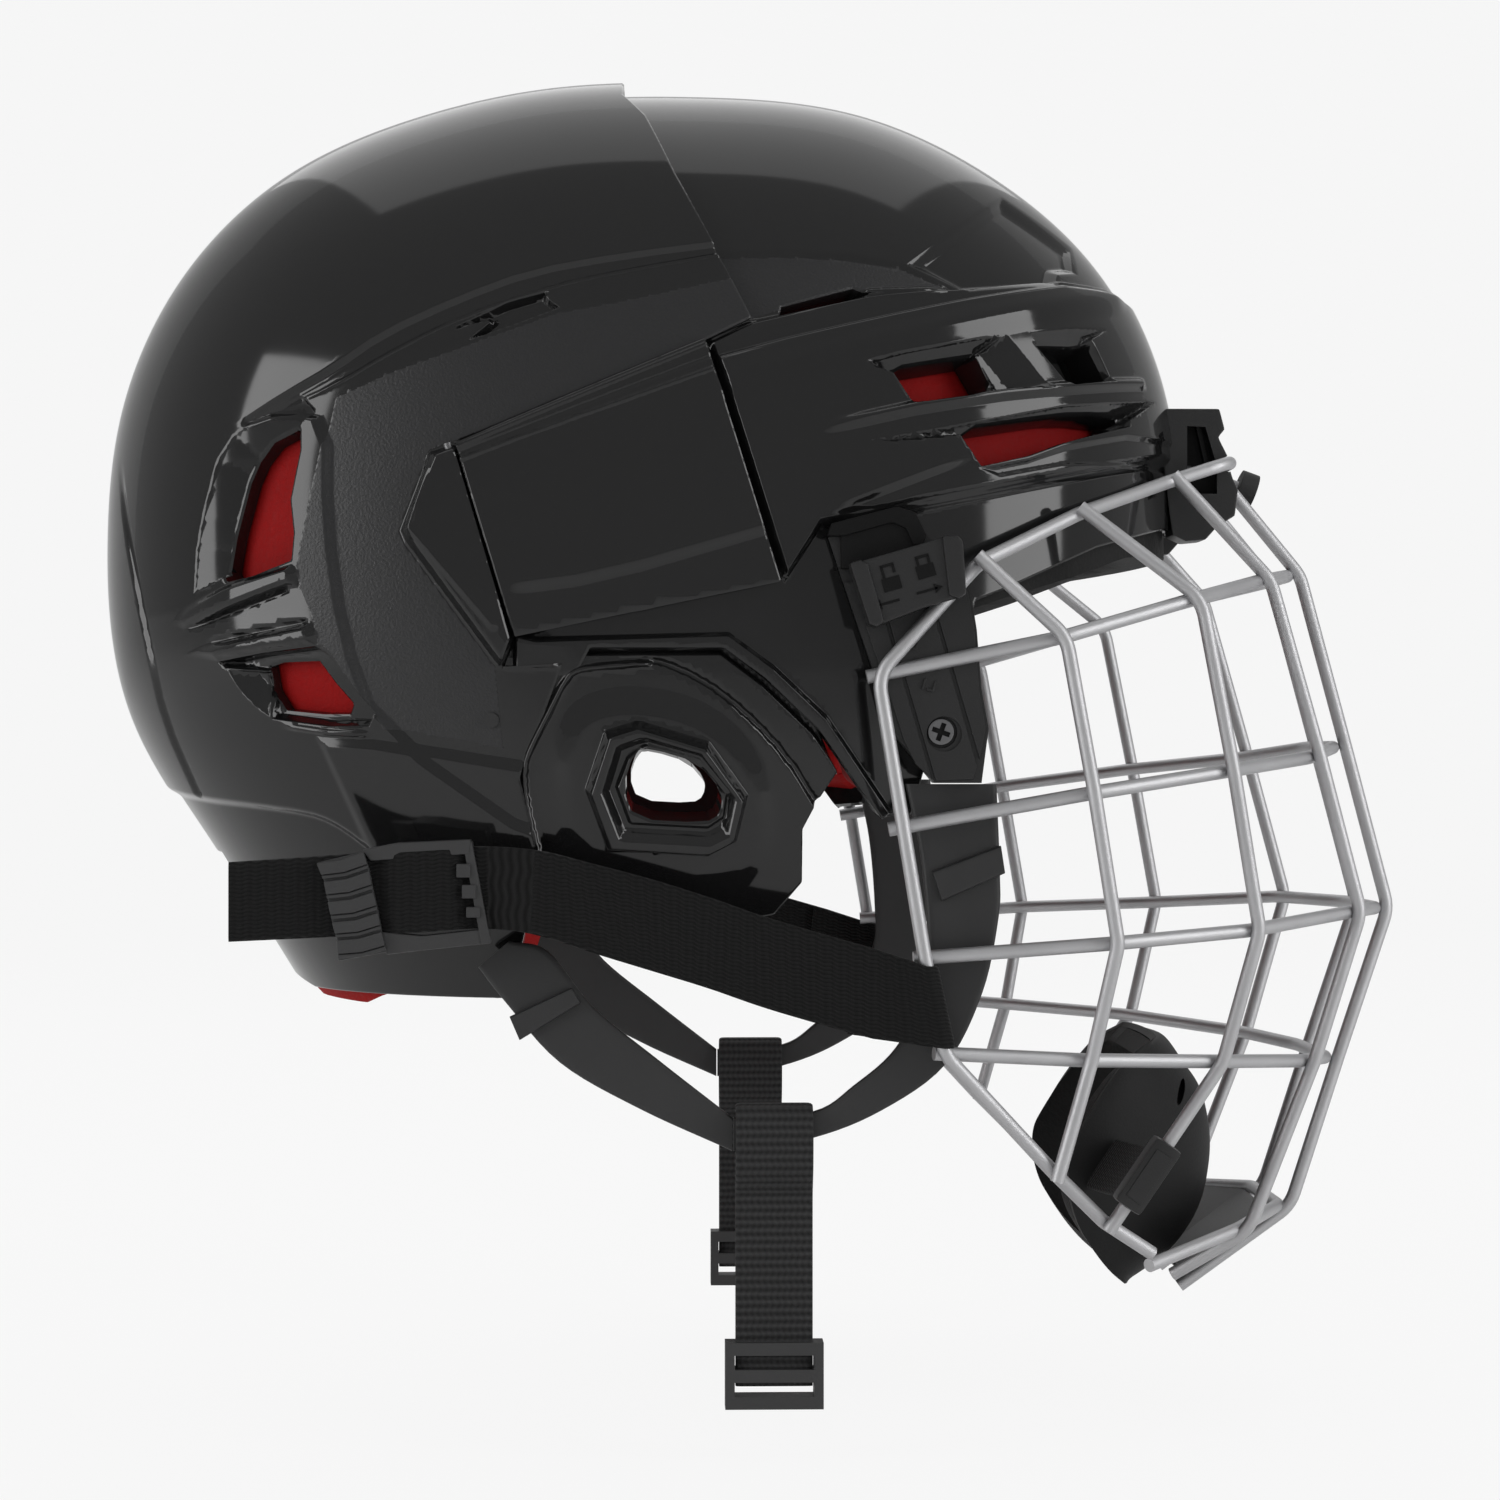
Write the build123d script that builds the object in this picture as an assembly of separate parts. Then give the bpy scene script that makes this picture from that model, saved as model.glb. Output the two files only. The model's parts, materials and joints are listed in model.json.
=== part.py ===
from build123d import *
import math
import os

# An ice hockey helmet with a wire face cage, in millimetres.
# +X points forward out of the face, +Y to the wearer's left, +Z up.
# The origin is the centre of the head at brow level, on the plane of symmetry.

# The two shells
shell_length = 283.0
shell_height = 140.0
shell_half_width = 104.0
shell_roundness = 2.4
rear_wall = 2.2
front_wall = 2.3
seam_step = 3.5

# Padding inside the shells
liner_thickness = 19.0
brow_pad_thickness = 15.0
temple_pad_thickness = 12.0
occipital_pad_thickness = 9.0

# Gaps between pieces
seat_gap = 0.3
running_gap = 0.05
edge_gap = 0.5
overrun = 40.0

# Ear guards and the studs that hold them
guard_wall = 2.5
guard_ring_rise = 4.0
stud_radius = 1.8
stud_head_radius = 3.2
stud_head_height = 0.8

# Side latches over the seam
latch_rise = 0.4
latch_wall = 2.0
barrel_radius = 2.0
latch_pin_radius = 1.0
barrel_notch = 5.2
latch_gap = 0.9
latch_pocket_depth = 7.0
latch_pocket_margin = 2.5

# Wire cage
wire_radius = 1.7
weld_depth = 0.3
cage_length = 140.0
cage_half_width = 105.0
cage_drop = 212.6
rail_forward = 149.9
rail_height = 38.7
rail_straight = 90.0
wire_stub = 2.5
rail_bend = 9.0
grid_bend = 14.0
upright_bend = 11.0
chin_plate_thickness = 1.2

# Bumper on the top rail
peg_length = 12.0
peg_drop_angle = 20.0
bumper_radius = 5.0
bumper_length = 5.0

# Top clips that carry the rail
clip_width = 12.0
clip_spacing = 62.0
clip_seat_wall = 2.8
clip_screw_pocket = 6.5
clip_rise = 14.0
clip_drop = 20.0
clip_arm_height = 7.0
clip_screw_radius = 1.6
clip_head_radius = 2.9
clip_head_height = 2.0

# Temple brackets and their locks
bracket_face = 99.8
bracket_screw_radius = 1.9
bracket_head_radius = 3.5
bracket_head_height = 1.5
bracket_counterbore = 1.7
lock_flange = 2.3
lock_rail_gap = 0.6
lock_travel = 10.0
lock_rib_height = 1.2
lock_rib_width = 3.0

# Sling straps of moulded plastic under the ears
sling_thickness = 2.2
sling_offset = 95.0
sling_tab_offset = 92.6
keeper_thickness = 2.0

# Side straps of webbing
webbing_thickness = 1.6
loop_thickness = 5.8
strap_offset = 105.0
loop_lead = 4.0
loop_gap = 1.8
side_buckle_thickness = 7.0
side_buckle_bar = 3.0
anchor_radius = 6.0

# Chin straps of webbing
chin_webbing_width = 18.4
chin_strap_thickness = 3.0
chin_loop_wall = 1.6
chin_loop_inside = 8.4
chin_loop_depth = 12.0
chin_strap_drop = 52.4
chin_buckle_width = 23.4
chin_buckle_height = 15.8
chin_buckle_thickness = 6.5
chin_buckle_bar = 3.0

# Chin cup
cup_depth = 45.0
cup_half_width = 39.0
cup_half_height = 38.0
cup_shell_wall = 2.0
cup_pad_wall = 7.0
cup_side_length = 46.0
cup_side_height = 66.0
cup_tilt = 8.0
cup_strap_width = 15.0
cup_strap_thickness = 2.0
sleeve_size = 7.5
sleeve_length = 19.0

# Outlines in side view, as shares of shell_length forward and of shell_height up.
# The closed outline that both shells follow, from the back over the crown to the face.
outline_shares = [
    (-0.496, 0.143), (-0.484, 0.371), (-0.428, 0.629), (-0.332, 0.821), (-0.212, 0.932),
    (-0.088, 0.989), (0.053, 1.000), (0.201, 0.968), (0.325, 0.857), (0.428, 0.679),
    (0.488, 0.443), (0.505, 0.200), (0.502, -0.107), (0.466, -0.500), (0.360, -0.843),
    (0.177, -1.043), (-0.035, -1.086), (-0.212, -0.957), (-0.329, -0.671), (-0.410, -0.414),
    (-0.472, -0.200),
]
# Sections of the shells, as shares of the half width, from the middle to one side.
width_shares = [0.0, 0.35, 0.6, 0.8, 0.92, 0.985]

seam_shares = [
    (-0.020, 1.143), (-0.019, 0.936), (0.001, 0.881), (0.027, 0.756), (0.057, 0.632),
    (0.069, 0.590), (0.092, 0.496),
]
plate_shares = [(0.051, 0.450), (-0.158, 0.269), (-0.108, -0.059), (0.114, 0.034)]
# Stretches of the latch's rear edge, from its upper to its lower corner.
notch_start_share, notch_end_share = 0.06, 0.94
barrel_start_share, barrel_end_share = 0.2, 0.8
pin_start_share, pin_end_share = 0.0, 1.0
rear_edge_shares = [
    (-0.120, -0.111), (-0.069, -0.104), (-0.085, -0.193), (-0.099, -0.250), (-0.105, -0.300),
    (-0.092, -0.414), (-0.103, -0.571), (-0.117, -0.689), (-0.300, -0.689), (-0.325, -0.671),
    (-0.389, -0.443), (-0.565, -0.443), (-0.565, 1.143),
]
tongue_shares = [
    (-0.099, 1.143), (-0.095, 0.929), (-0.074, 0.864), (-0.049, 0.743), (-0.021, 0.621),
    (-0.007, 0.543), (-0.099, 0.321), (-0.110, 0.143), (-0.110, -0.066),
]
front_edge_shares = [
    (0.070, -0.066), (0.107, -0.121), (0.153, -0.206), (0.210, -0.371), (0.233, -0.371),
    (0.265, -0.143), (0.290, 0.008), (0.317, 0.029), (0.405, 0.111), (0.477, 0.155),
    (0.565, 0.179), (0.565, 1.143),
]
rear_liner_shares = [
    (-0.106, 1.143), (-0.102, 0.929), (-0.081, 0.864), (-0.057, 0.743), (-0.028, 0.614),
    (-0.014, 0.543), (-0.106, 0.321), (-0.120, 0.143), (-0.127, -0.086), (-0.113, -0.429),
    (-0.117, -0.702), (-0.311, -0.702), (-0.346, -0.614), (-0.565, -0.500), (-0.565, 1.143),
]
front_liner_shares = [
    (-0.092, 1.143), (-0.088, 0.914), (-0.067, 0.857), (-0.042, 0.729), (-0.014, 0.614),
    (0.000, 0.536), (-0.088, 0.314), (-0.099, 0.143), (-0.099, -0.043), (0.067, -0.043),
    (0.120, -0.114), (0.247, 0.014), (0.297, 0.071), (0.382, 0.300), (0.565, 0.300),
    (0.565, 1.143),
]
brow_pad_shares = [
    (0.290, -0.007), (0.311, 0.007), (0.389, 0.057), (0.445, 0.100), (0.565, 0.129),
    (0.565, 0.293), (0.382, 0.293), (0.297, 0.064),
]
temple_pad_shares = [
    (0.124, -0.121), (0.166, -0.214), (0.191, -0.336), (0.226, -0.343), (0.254, -0.143),
    (0.279, 0.000), (0.247, 0.007),
]
occipital_pad_shares = [
    (-0.530, -0.107), (-0.530, -0.500), (-0.346, -0.600), (-0.212, -0.600), (-0.212, -0.286),
    (-0.265, -0.107),
]
rear_vent_shares = [
    (-0.301, 0.304), (-0.290, 0.300), (-0.292, 0.271), (-0.309, 0.086), (-0.313, 0.069),
    (-0.339, 0.046), (-0.359, 0.054), (-0.351, 0.145), (-0.342, 0.219), (-0.333, 0.257),
]
low_vent_shares = [(-0.329, -0.109), (-0.281, -0.096), (-0.252, -0.192), (-0.301, -0.195)]
crease_vent_shares = [(-0.161, 0.484), (-0.154, 0.453), (-0.076, 0.517), (-0.085, 0.537)]
front_vent_shares = [
    (0.210, 0.403), (0.286, 0.438), (0.299, 0.384), (0.274, 0.351), (0.231, 0.345),
]
fore_vent_shares = [(0.334, 0.459), (0.393, 0.469), (0.409, 0.403), (0.371, 0.388)]
brow_vent_shares = [
    (0.270, 0.289), (0.330, 0.329), (0.396, 0.344), (0.424, 0.330), (0.396, 0.292),
    (0.311, 0.246), (0.286, 0.241),
]
upper_vent_shares = [(0.118, 0.505), (0.120, 0.529), (0.184, 0.564), (0.195, 0.554)]

guard_shares = [
    (-0.145, -0.143), (-0.055, -0.075), (0.069, -0.073), (0.105, -0.129), (0.151, -0.213),
    (0.166, -0.293), (0.149, -0.343), (0.136, -0.393), (0.136, -0.486), (0.112, -0.543),
    (0.035, -0.571), (-0.042, -0.543), (-0.085, -0.471), (-0.145, -0.471),
]
ear_hole_shares = [
    (-0.008, -0.250), (0.006, -0.246), (0.044, -0.269), (0.065, -0.319), (0.063, -0.356),
    (0.051, -0.371), (-0.008, -0.364), (-0.018, -0.311),
]
ear_ring_shares = [
    (-0.029, -0.220), (-0.005, -0.203), (0.053, -0.239), (0.086, -0.329), (0.077, -0.405),
    (0.054, -0.429), (-0.029, -0.418), (-0.048, -0.319),
]
guard_stud_shares = [(-0.128, -0.200), (-0.128, -0.371)]

bracket_shares = [
    (0.154, 0.110), (0.213, 0.146), (0.233, 0.124), (0.272, 0.043), (0.279, -0.046),
    (0.283, -0.147), (0.289, -0.213), (0.283, -0.306), (0.244, -0.306), (0.212, -0.229),
    (0.182, -0.056),
]
bracket_screw_share = (0.249, -0.220)
lock_shares = [
    (0.170, 0.061), (0.245, 0.105), (0.261, 0.105), (0.265, 0.007), (0.235, -0.009),
    (0.223, -0.025), (0.193, -0.043),
]
clip_back_share = 0.45
lock_rib_height_share = 0.036
lock_rib_start_share = 0.196
lock_rib_end_share = 0.226

# Sling edges: inner and outer edge of the front half from its tab to the jaw, then the rear half.
sling_front_inner_shares = [
    (0.220, -0.308), (0.233, -0.429), (0.239, -0.571), (0.237, -0.657), (0.212, -0.757),
    (0.177, -0.821), (0.142, -0.866), (0.075, -0.875),
]
sling_front_outer_shares = [
    (0.297, -0.308), (0.300, -0.457), (0.299, -0.536), (0.285, -0.664), (0.254, -0.786),
    (0.200, -0.864), (0.142, -0.911), (0.075, -0.932),
]
sling_rear_inner_shares = [
    (-0.114, -0.576), (-0.081, -0.593), (-0.043, -0.687), (0.012, -0.778),
]
sling_rear_outer_shares = [
    (-0.140, -0.620), (-0.117, -0.679), (-0.071, -0.782), (-0.004, -0.861),
]
sling_rear_part_shares = [0.0, 0.2, 0.5, 0.8, 1.0]
front_keeper_shares = [
    ((0.246, -0.458), (0.253, -0.505)), ((0.298, -0.416), (0.301, -0.458)),
]
rear_keeper_shares = [
    ((-0.110, -0.705), (-0.103, -0.739)), ((-0.064, -0.657), (-0.056, -0.678)),
]
sling_stud_share = (-0.124, -0.621)

# Side strap edges from the tail to the front loop.
strap_upper_shares = [
    (-0.344, -0.438), (-0.136, -0.425), (-0.047, -0.446), (0.057, -0.501), (0.225, -0.603),
]
strap_lower_shares = [
    (-0.344, -0.571), (-0.133, -0.560), (-0.042, -0.586), (0.054, -0.651), (0.225, -0.749),
]
side_buckle_shares = [(-0.271, -0.405), (-0.127, -0.405), (-0.127, -0.594), (-0.271, -0.594)]
side_buckle_window_share = (-0.212, -0.152)
anchor_share = (-0.244, -0.500)

# Cage crossings behind the rail: forward as shares of cage_length, sideways of cage_half_width,
# down as shares of cage_drop. Each upright lists its crossings from the top rail downwards.
post_shares = [(-0.677, 1.0, -0.263), (-0.640, 1.0, -0.433), (-0.598, 1.0, -0.578), (-0.564, 1.0, -0.685)]
upright_shares = {
    2: [(-0.496, 1.0, -0.138), (-0.359, 1.0, -0.221), (-0.311, 1.0, -0.395), (-0.269, 0.981, -0.563),
        (-0.309, 0.924, -0.696), (-0.363, 0.924, -0.820)],
    3: [(-0.301, 0.790, -0.076), (-0.109, 0.829, -0.175), (-0.051, 0.819, -0.371),
        (-0.004, 0.800, -0.553), (-0.062, 0.752, -0.705), (-0.253, 0.752, -0.889)],
    4: [(-0.104, 0.476, -0.027), (0.058, 0.495, -0.145), (0.148, 0.495, -0.355),
        (0.222, 0.486, -0.539), (0.141, 0.463, -0.717), (0.022, 0.457, -0.918),
        (-0.095, 0.400, -0.969)],
    5: [(-0.021, 0.190, 0.010), (0.155, 0.190, -0.131), (0.241, 0.190, -0.342),
        (0.320, 0.190, -0.540), (0.226, 0.190, -0.724), (0.136, 0.190, -0.906),
        (-0.056, 0.171, -0.999)],
}
bottom_rail_end_share = (-0.177, 0.667, -0.930)
chin_rail_end_share = (-0.181, 0.657, -0.945)
cup_mouth_share = (-0.321, -0.845)
cup_side_share = (-0.157, -0.845)
sleeve_place_share = 0.70
cup_strap_start_share = 0.28
chin_plate_top_share = 0.30

mean_radius = (shell_length / 2 + shell_height) / 2
clip_offset = clip_spacing / 2
lap = 2 * wire_radius - weld_depth


def side(share):
    """A point of the side view from its shares."""
    return (share[0] * shell_length, share[1] * shell_height)


def side_points(shares):
    return [side(share) for share in shares]


eggs = {}


def egg(inset):
    """The closed head shape that lies a distance inside the shells' outer face."""
    if inset not in eggs:
        size = 1 - inset / mean_radius
        sections = []
        for share in [-share for share in reversed(width_shares[1:])] + width_shares:
            y = share * (shell_half_width - inset)
            part = size * (1 - abs(share) ** shell_roundness) ** (1 / shell_roundness)
            points = [(x * part, y, z * part) for x, z in side_points(outline_shares)]
            sections.append(Wire([Edge.make_spline(points, periodic=True)]))
        eggs[inset] = Solid.make_loft(sections)
    return eggs[inset]


def half_width(x, z, inset=0.0):
    """Distance from the middle to the head shape's side at a side-view point."""
    line = Edge.make_line((x, -shell_half_width - overrun, z), (x, 0.0, z))
    return -(egg(inset) & line).edges()[0].bounding_box().min.Y


def layer(outer, inner):
    """The skin of the head shape between two depths."""
    return egg(outer) - egg(inner)


def prism(points, low, high):
    """A side-view outline drawn out along Y from one place to another."""
    face = Face(Wire.make_polygon([(x, low, z) for x, z in points], close=True))
    return extrude(face, amount=high - low, dir=(0, 1, 0))


def across(points):
    reach = shell_half_width + overrun
    return prism(points, -reach, reach)


def right_side(points):
    """The same outline on the wearer's right half only."""
    return prism(points, -shell_half_width - overrun, 0.0)


def left(shape):
    """The mirrored piece on the wearer's left."""
    return mirror(shape, about=Plane.XZ)


def pair(shape):
    return Compound(children=[*shape.solids(), *left(shape).solids()])


def rod(start, end, radius):
    """A round bar between two points."""
    direction = Vector(*end) - Vector(*start)
    return extrude(Plane(origin=start, z_dir=direction) * Circle(radius), amount=direction.length)


def cross_pin(x, z, low, high, radius):
    """A round bar along Y on the right side, between two distances from the middle."""
    return rod((x, -high, z), (x, -low, z), radius)


def bent_wire(points, bend):
    """A wire of straight runs and round bends."""
    path = FilletPolyline(*points, radius=bend)
    return sweep(Plane(origin=path @ 0, z_dir=path % 0) * Circle(wire_radius), path=path)


def band(upper, lower, offsets, thickness):
    """A flat strap on the right side, between two edges, at a distance from the middle at each."""
    sections = []
    for (ux, uz), (lx, lz), offset in zip(upper, lower, offsets):
        near, far = -offset - thickness / 2, -offset + thickness / 2
        sections.append(Wire.make_polygon([(ux, near, uz), (ux, far, uz), (lx, far, lz), (lx, near, lz)]))
    return Solid.make_loft(sections, ruled=True)


def shifted(point, dx, dz):
    return (point[0] + dx, point[1] + dz)


def between(start, end, part):
    return tuple(a + part * (b - a) for a, b in zip(start, end))


parts = {}

# Rear shell, with the window that the side latch fills
plate = side_points(plate_shares)
plate_front_top, plate_rear_top, plate_rear_bottom, plate_front_bottom = plate
rear_cover = side_points(seam_shares) + [
    shifted(plate_front_top, 0.0, edge_gap),
    shifted(plate_rear_top, -latch_gap, edge_gap),
    shifted(plate_rear_bottom, -latch_gap, -edge_gap),
] + side_points(rear_edge_shares)
notch_top = between(plate_rear_top, plate_rear_bottom, notch_start_share)
notch_bottom = between(plate_rear_top, plate_rear_bottom, notch_end_share)
notch = [
    shifted(notch_top, barrel_notch, 0.0), shifted(notch_top, -barrel_notch, 0.0),
    shifted(notch_bottom, -barrel_notch, 0.0), shifted(notch_bottom, barrel_notch, 0.0),
]
rear_shell = layer(0.0, rear_wall) & across(rear_cover)
for vent in (rear_vent_shares, low_vent_shares, crease_vent_shares):
    rear_shell -= across(side_points(vent))
rear_shell -= across(notch)
parts["rear_shell"] = rear_shell

# Front shell, whose tongue runs under the rear shell and the latches
front_face = seam_step
front_back = seam_step + front_wall
front_cover = side_points(tongue_shares) + side_points(front_edge_shares)
front_shell = layer(front_face, front_back) & across(front_cover)
for vent in (front_vent_shares, fore_vent_shares, brow_vent_shares, upper_vent_shares):
    front_shell -= across(side_points(vent))
parts["front_shell"] = front_shell

# Ear guards, held inside the rear shell by studs with heads on the inside
guard_face = rear_wall + seat_gap
guard_back = guard_face + guard_wall
guard_depth = shell_half_width / 2
guard_outline = side_points(guard_shares)
ear_hole = side_points(ear_hole_shares)
guard = layer(guard_face, guard_back) & right_side(guard_outline)
ring = layer(guard_face - guard_ring_rise, guard_back) & right_side(side_points(ear_ring_shares))
guard = (guard + ring) - right_side(ear_hole)
parts["ear_guard_right"] = guard
parts["ear_guard_left"] = left(guard)

studs = []
for x, z in side_points(guard_stud_shares):
    shank = cross_pin(x, z, guard_depth, shell_half_width + overrun, stud_radius)
    head = cross_pin(x, z, guard_depth, shell_half_width + overrun, stud_head_radius)
    studs.append((shank & layer(rear_wall / 2, guard_back)) + (head & layer(guard_back, guard_back + stud_head_height)))
parts["ear_guard_studs"] = pair(Compound(children=studs))

# Foam liners, seated on the inside of each shell
liner_face = rear_wall + seat_gap
guard_left, guard_right = min(x for x, z in guard_outline), max(x for x, z in guard_outline)
guard_low, guard_high = min(z for x, z in guard_outline), max(z for x, z in guard_outline)
guard_pocket = layer(rear_wall, guard_back + stud_head_height + seat_gap) & across([
    (guard_left - edge_gap, guard_high + edge_gap), (guard_right, guard_high + edge_gap),
    (guard_right, guard_low - edge_gap), (guard_left - edge_gap, guard_low - edge_gap),
])
rear_liner = layer(liner_face, liner_face + liner_thickness) & across(side_points(rear_liner_shares))
latch_pocket = layer(rear_wall, latch_pocket_depth) & across([
    shifted(notch[0], 0.0, latch_pocket_margin),
    shifted(notch[1], -latch_pocket_margin, latch_pocket_margin),
    shifted(notch[2], -latch_pocket_margin, -latch_pocket_margin),
    shifted(notch[3], 0.0, -latch_pocket_margin),
])
rear_liner = rear_liner - guard_pocket - latch_pocket
parts["rear_liner"] = rear_liner

front_liner_face = front_back + seat_gap
front_liner = layer(front_liner_face, front_liner_face + liner_thickness)
parts["front_liner"] = front_liner & across(side_points(front_liner_shares))
brow_pad = layer(front_liner_face, front_liner_face + brow_pad_thickness)
parts["brow_pad"] = brow_pad & across(side_points(brow_pad_shares))
temple_pad = layer(front_liner_face, front_liner_face + temple_pad_thickness)
temple_pad = temple_pad & right_side(side_points(temple_pad_shares))
parts["temple_pad_right"] = temple_pad
parts["temple_pad_left"] = left(temple_pad)
occipital_face = liner_face + liner_thickness + seat_gap
occipital_pad = layer(occipital_face, occipital_face + occipital_pad_thickness)
parts["occipital_pad"] = occipital_pad & across(side_points(occipital_pad_shares))

# Side latches, hinged along their rear edge on a pin in the rear shell
axis_depth = rear_wall / 2
axis_top = between(plate_rear_top, plate_rear_bottom, 0.0)
axis_bottom = between(plate_rear_top, plate_rear_bottom, 1.0)


def axis_point(part):
    """A point on the right latch's hinge line, from its top end to its bottom end."""
    ends = []
    for x, z in (axis_top, axis_bottom):
        ends.append((x - barrel_radius, -half_width(x - barrel_radius, z, axis_depth), z))
    return between(ends[0], ends[1], part)


web_top, web_bottom = axis_point(barrel_start_share), axis_point(barrel_end_share)
latch = layer(-latch_rise, latch_wall) & right_side(plate)
web = layer(-latch_rise, latch_wall) & right_side([
    (web_top[0], web_top[2]),
    shifted(between(plate_rear_top, plate_rear_bottom, barrel_start_share), barrel_radius, 0.0),
    shifted(between(plate_rear_top, plate_rear_bottom, barrel_end_share), barrel_radius, 0.0),
    (web_bottom[0], web_bottom[2]),
])
latch = latch + web + rod(web_top, web_bottom, barrel_radius)
pin_start, pin_end = axis_point(pin_start_share), axis_point(pin_end_share)
latch -= rod(pin_start, pin_end, latch_pin_radius + running_gap)
parts["side_latch_right"] = latch
parts["side_latch_left"] = left(latch)
parts["latch_pins"] = pair(rod(pin_start, pin_end, latch_pin_radius))

# Wire cage, whose uprights lie outside the rails and cross bars and are welded to them


def cage_point(share):
    """A point on the right half of the cage from its shares."""
    return (rail_forward + share[0] * cage_length, -share[1] * cage_half_width,
            rail_height + share[2] * cage_drop)


def mirrored(points):
    return points + [(x, -y, z) for x, y, z in reversed(points)]


def inside(points):
    """Points a weld's lap inside those of one level, square to the level in plan view."""
    moved = []
    for index, (x, y, z) in enumerate(points):
        before = points[max(index - 1, 0)]
        after = points[index + 1] if index + 1 < len(points) else (x, -y, z)
        run = (after[0] - before[0], after[1] - before[1])
        length = math.hypot(*run)
        if index == 0:
            run, length = (1.0, 0.0), 1.0
        moved.append((x - lap * run[1] / length, y + lap * run[0] / length, z))
    return moved


def stretched(points, length):
    """The same line with its ends run on by a length."""
    first, second = Vector(*points[0]), Vector(*points[1])
    last, previous = Vector(*points[-1]), Vector(*points[-2])
    start = first + (first - second).normalized() * length
    end = last + (last - previous).normalized() * length
    return [tuple(start)] + list(points[1:-1]) + [tuple(end)]


posts = [cage_point(share) for share in post_shares]
uprights = {number: [cage_point(share) for share in shares] for number, shares in upright_shares.items()}
rail_level = inside([posts[0]] + [uprights[number][0] for number in (2, 3, 4)])
rail_half = [posts[0]] + rail_level[1:] + [(rail_forward, -rail_straight / 2, rail_height)]
low_level = [posts[-1], inside([posts[-1], uprights[2][5], uprights[3][5]])[1]]
bottom_end = cage_point(bottom_rail_end_share)
low_corner = inside([uprights[2][5], uprights[3][5], bottom_end])[1]
frame_half = [bottom_end, low_corner, low_level[1], posts[-1], posts[2], posts[0]] + rail_half[1:]
parts["cage_frame_wire"] = bent_wire(mirrored(frame_half), rail_bend)

for level in range(1, 5):
    points = [posts[level - 1]] + [uprights[number][level] for number in (2, 3, 4, 5)]
    bar = bent_wire(stretched(mirrored(inside(points)), wire_stub), grid_bend)
    parts["cage_cross_bar_%d" % level] = bar

for number, points in uprights.items():
    upright = bent_wire(stretched(points, wire_stub), upright_bend)
    parts["cage_upright_%d_right" % number] = upright
    parts["cage_upright_%d_left" % number] = left(upright)

chin_level = inside([uprights[3][5], uprights[4][5], uprights[5][5]])[1:]
chin_half = [cage_point(chin_rail_end_share)] + chin_level
parts["cage_chin_rail"] = bent_wire(mirrored(chin_half), rail_bend)

# Chin plate, laid on the lower ends of the inner uprights
plate_sections = []
for side_sign, number in ((1, 4), (1, 5), (-1, 5), (-1, 4)):
    low, high = Vector(*uprights[number][6]), Vector(*uprights[number][5])
    run = (high - low).normalized()
    lift = Vector(-run.Z, 0, run.X).normalized()
    near = wire_radius - weld_depth / 2
    low_edge = low + lift * near
    high_edge = low_edge + (high - low) * (1 - chin_plate_top_share / 2)
    corners = [low_edge, high_edge, high_edge + lift * chin_plate_thickness,
               low_edge + lift * chin_plate_thickness]
    plate_sections.append(Wire.make_polygon([(c.X, side_sign * c.Y, c.Z) for c in corners]))
parts["chin_plate"] = Solid.make_loft(plate_sections, ruled=True)

# Bumper peg on the top rail
peg_angle = math.radians(peg_drop_angle)
peg_direction = Vector(math.cos(peg_angle), 0, -math.sin(peg_angle))
peg_start = Vector(rail_forward, 0, rail_height) + peg_direction * (wire_radius - weld_depth)
peg_end = Vector(rail_forward, 0, rail_height) + peg_direction * peg_length
peg = rod(tuple(peg_start), tuple(peg_end), wire_radius)
bumper_start = peg_end - peg_direction * (bumper_length / 2)
bumper_end = bumper_start + peg_direction * bumper_length
parts["stop_peg"] = peg
parts["stop_bumper"] = rod(tuple(bumper_start), tuple(bumper_end), bumper_radius) - peg

# Top clips, screwed to the front shell, in which the rail turns
clip_back = clip_back_share * shell_length
seat_reach = wire_radius + clip_seat_wall
clip_plate_front = rail_forward - seat_reach
clip_base_front = clip_plate_front - clip_screw_pocket
clip_top = rail_height + clip_rise
clip_bottom = rail_height - clip_drop
clip_outline = [
    (clip_back, clip_bottom + clip_arm_height), (clip_back, clip_top),
    (rail_forward - clip_arm_height / 2, clip_top),
    (rail_forward + seat_reach, rail_height + seat_reach),
    (rail_forward + seat_reach, rail_height - seat_reach),
    (clip_plate_front, rail_height - seat_reach),
    (clip_plate_front, clip_top - clip_arm_height),
    (clip_base_front, clip_top - clip_arm_height),
    (clip_base_front, clip_bottom + clip_arm_height),
    (rail_forward + wire_radius, clip_bottom + clip_arm_height),
    (rail_forward, clip_bottom + clip_arm_height / 2),
    (clip_base_front + clip_arm_height / 2, clip_bottom),
    (clip_base_front, clip_bottom),
]
clip = prism(clip_outline, -clip_offset - clip_width / 2, -clip_offset + clip_width / 2)
clip -= egg(front_face - seat_gap)
clip -= cross_pin(rail_forward, rail_height, 0.0, cage_half_width, wire_radius + running_gap)
screw_height = rail_height - seat_reach / 2
clip_screw = rod((clip_back, -clip_offset, screw_height), (clip_base_front, -clip_offset, screw_height),
                 clip_screw_radius) - egg(front_back)
clip_screw += rod((clip_base_front, -clip_offset, screw_height),
                  (clip_base_front + clip_head_height, -clip_offset, screw_height), clip_head_radius)
clip -= rod((clip_back, -clip_offset, screw_height), (clip_base_front, -clip_offset, screw_height),
            clip_screw_radius)
parts["top_clip_right"] = clip
parts["top_clip_left"] = left(clip)
parts["top_clip_screws"] = pair(clip_screw)

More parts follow.
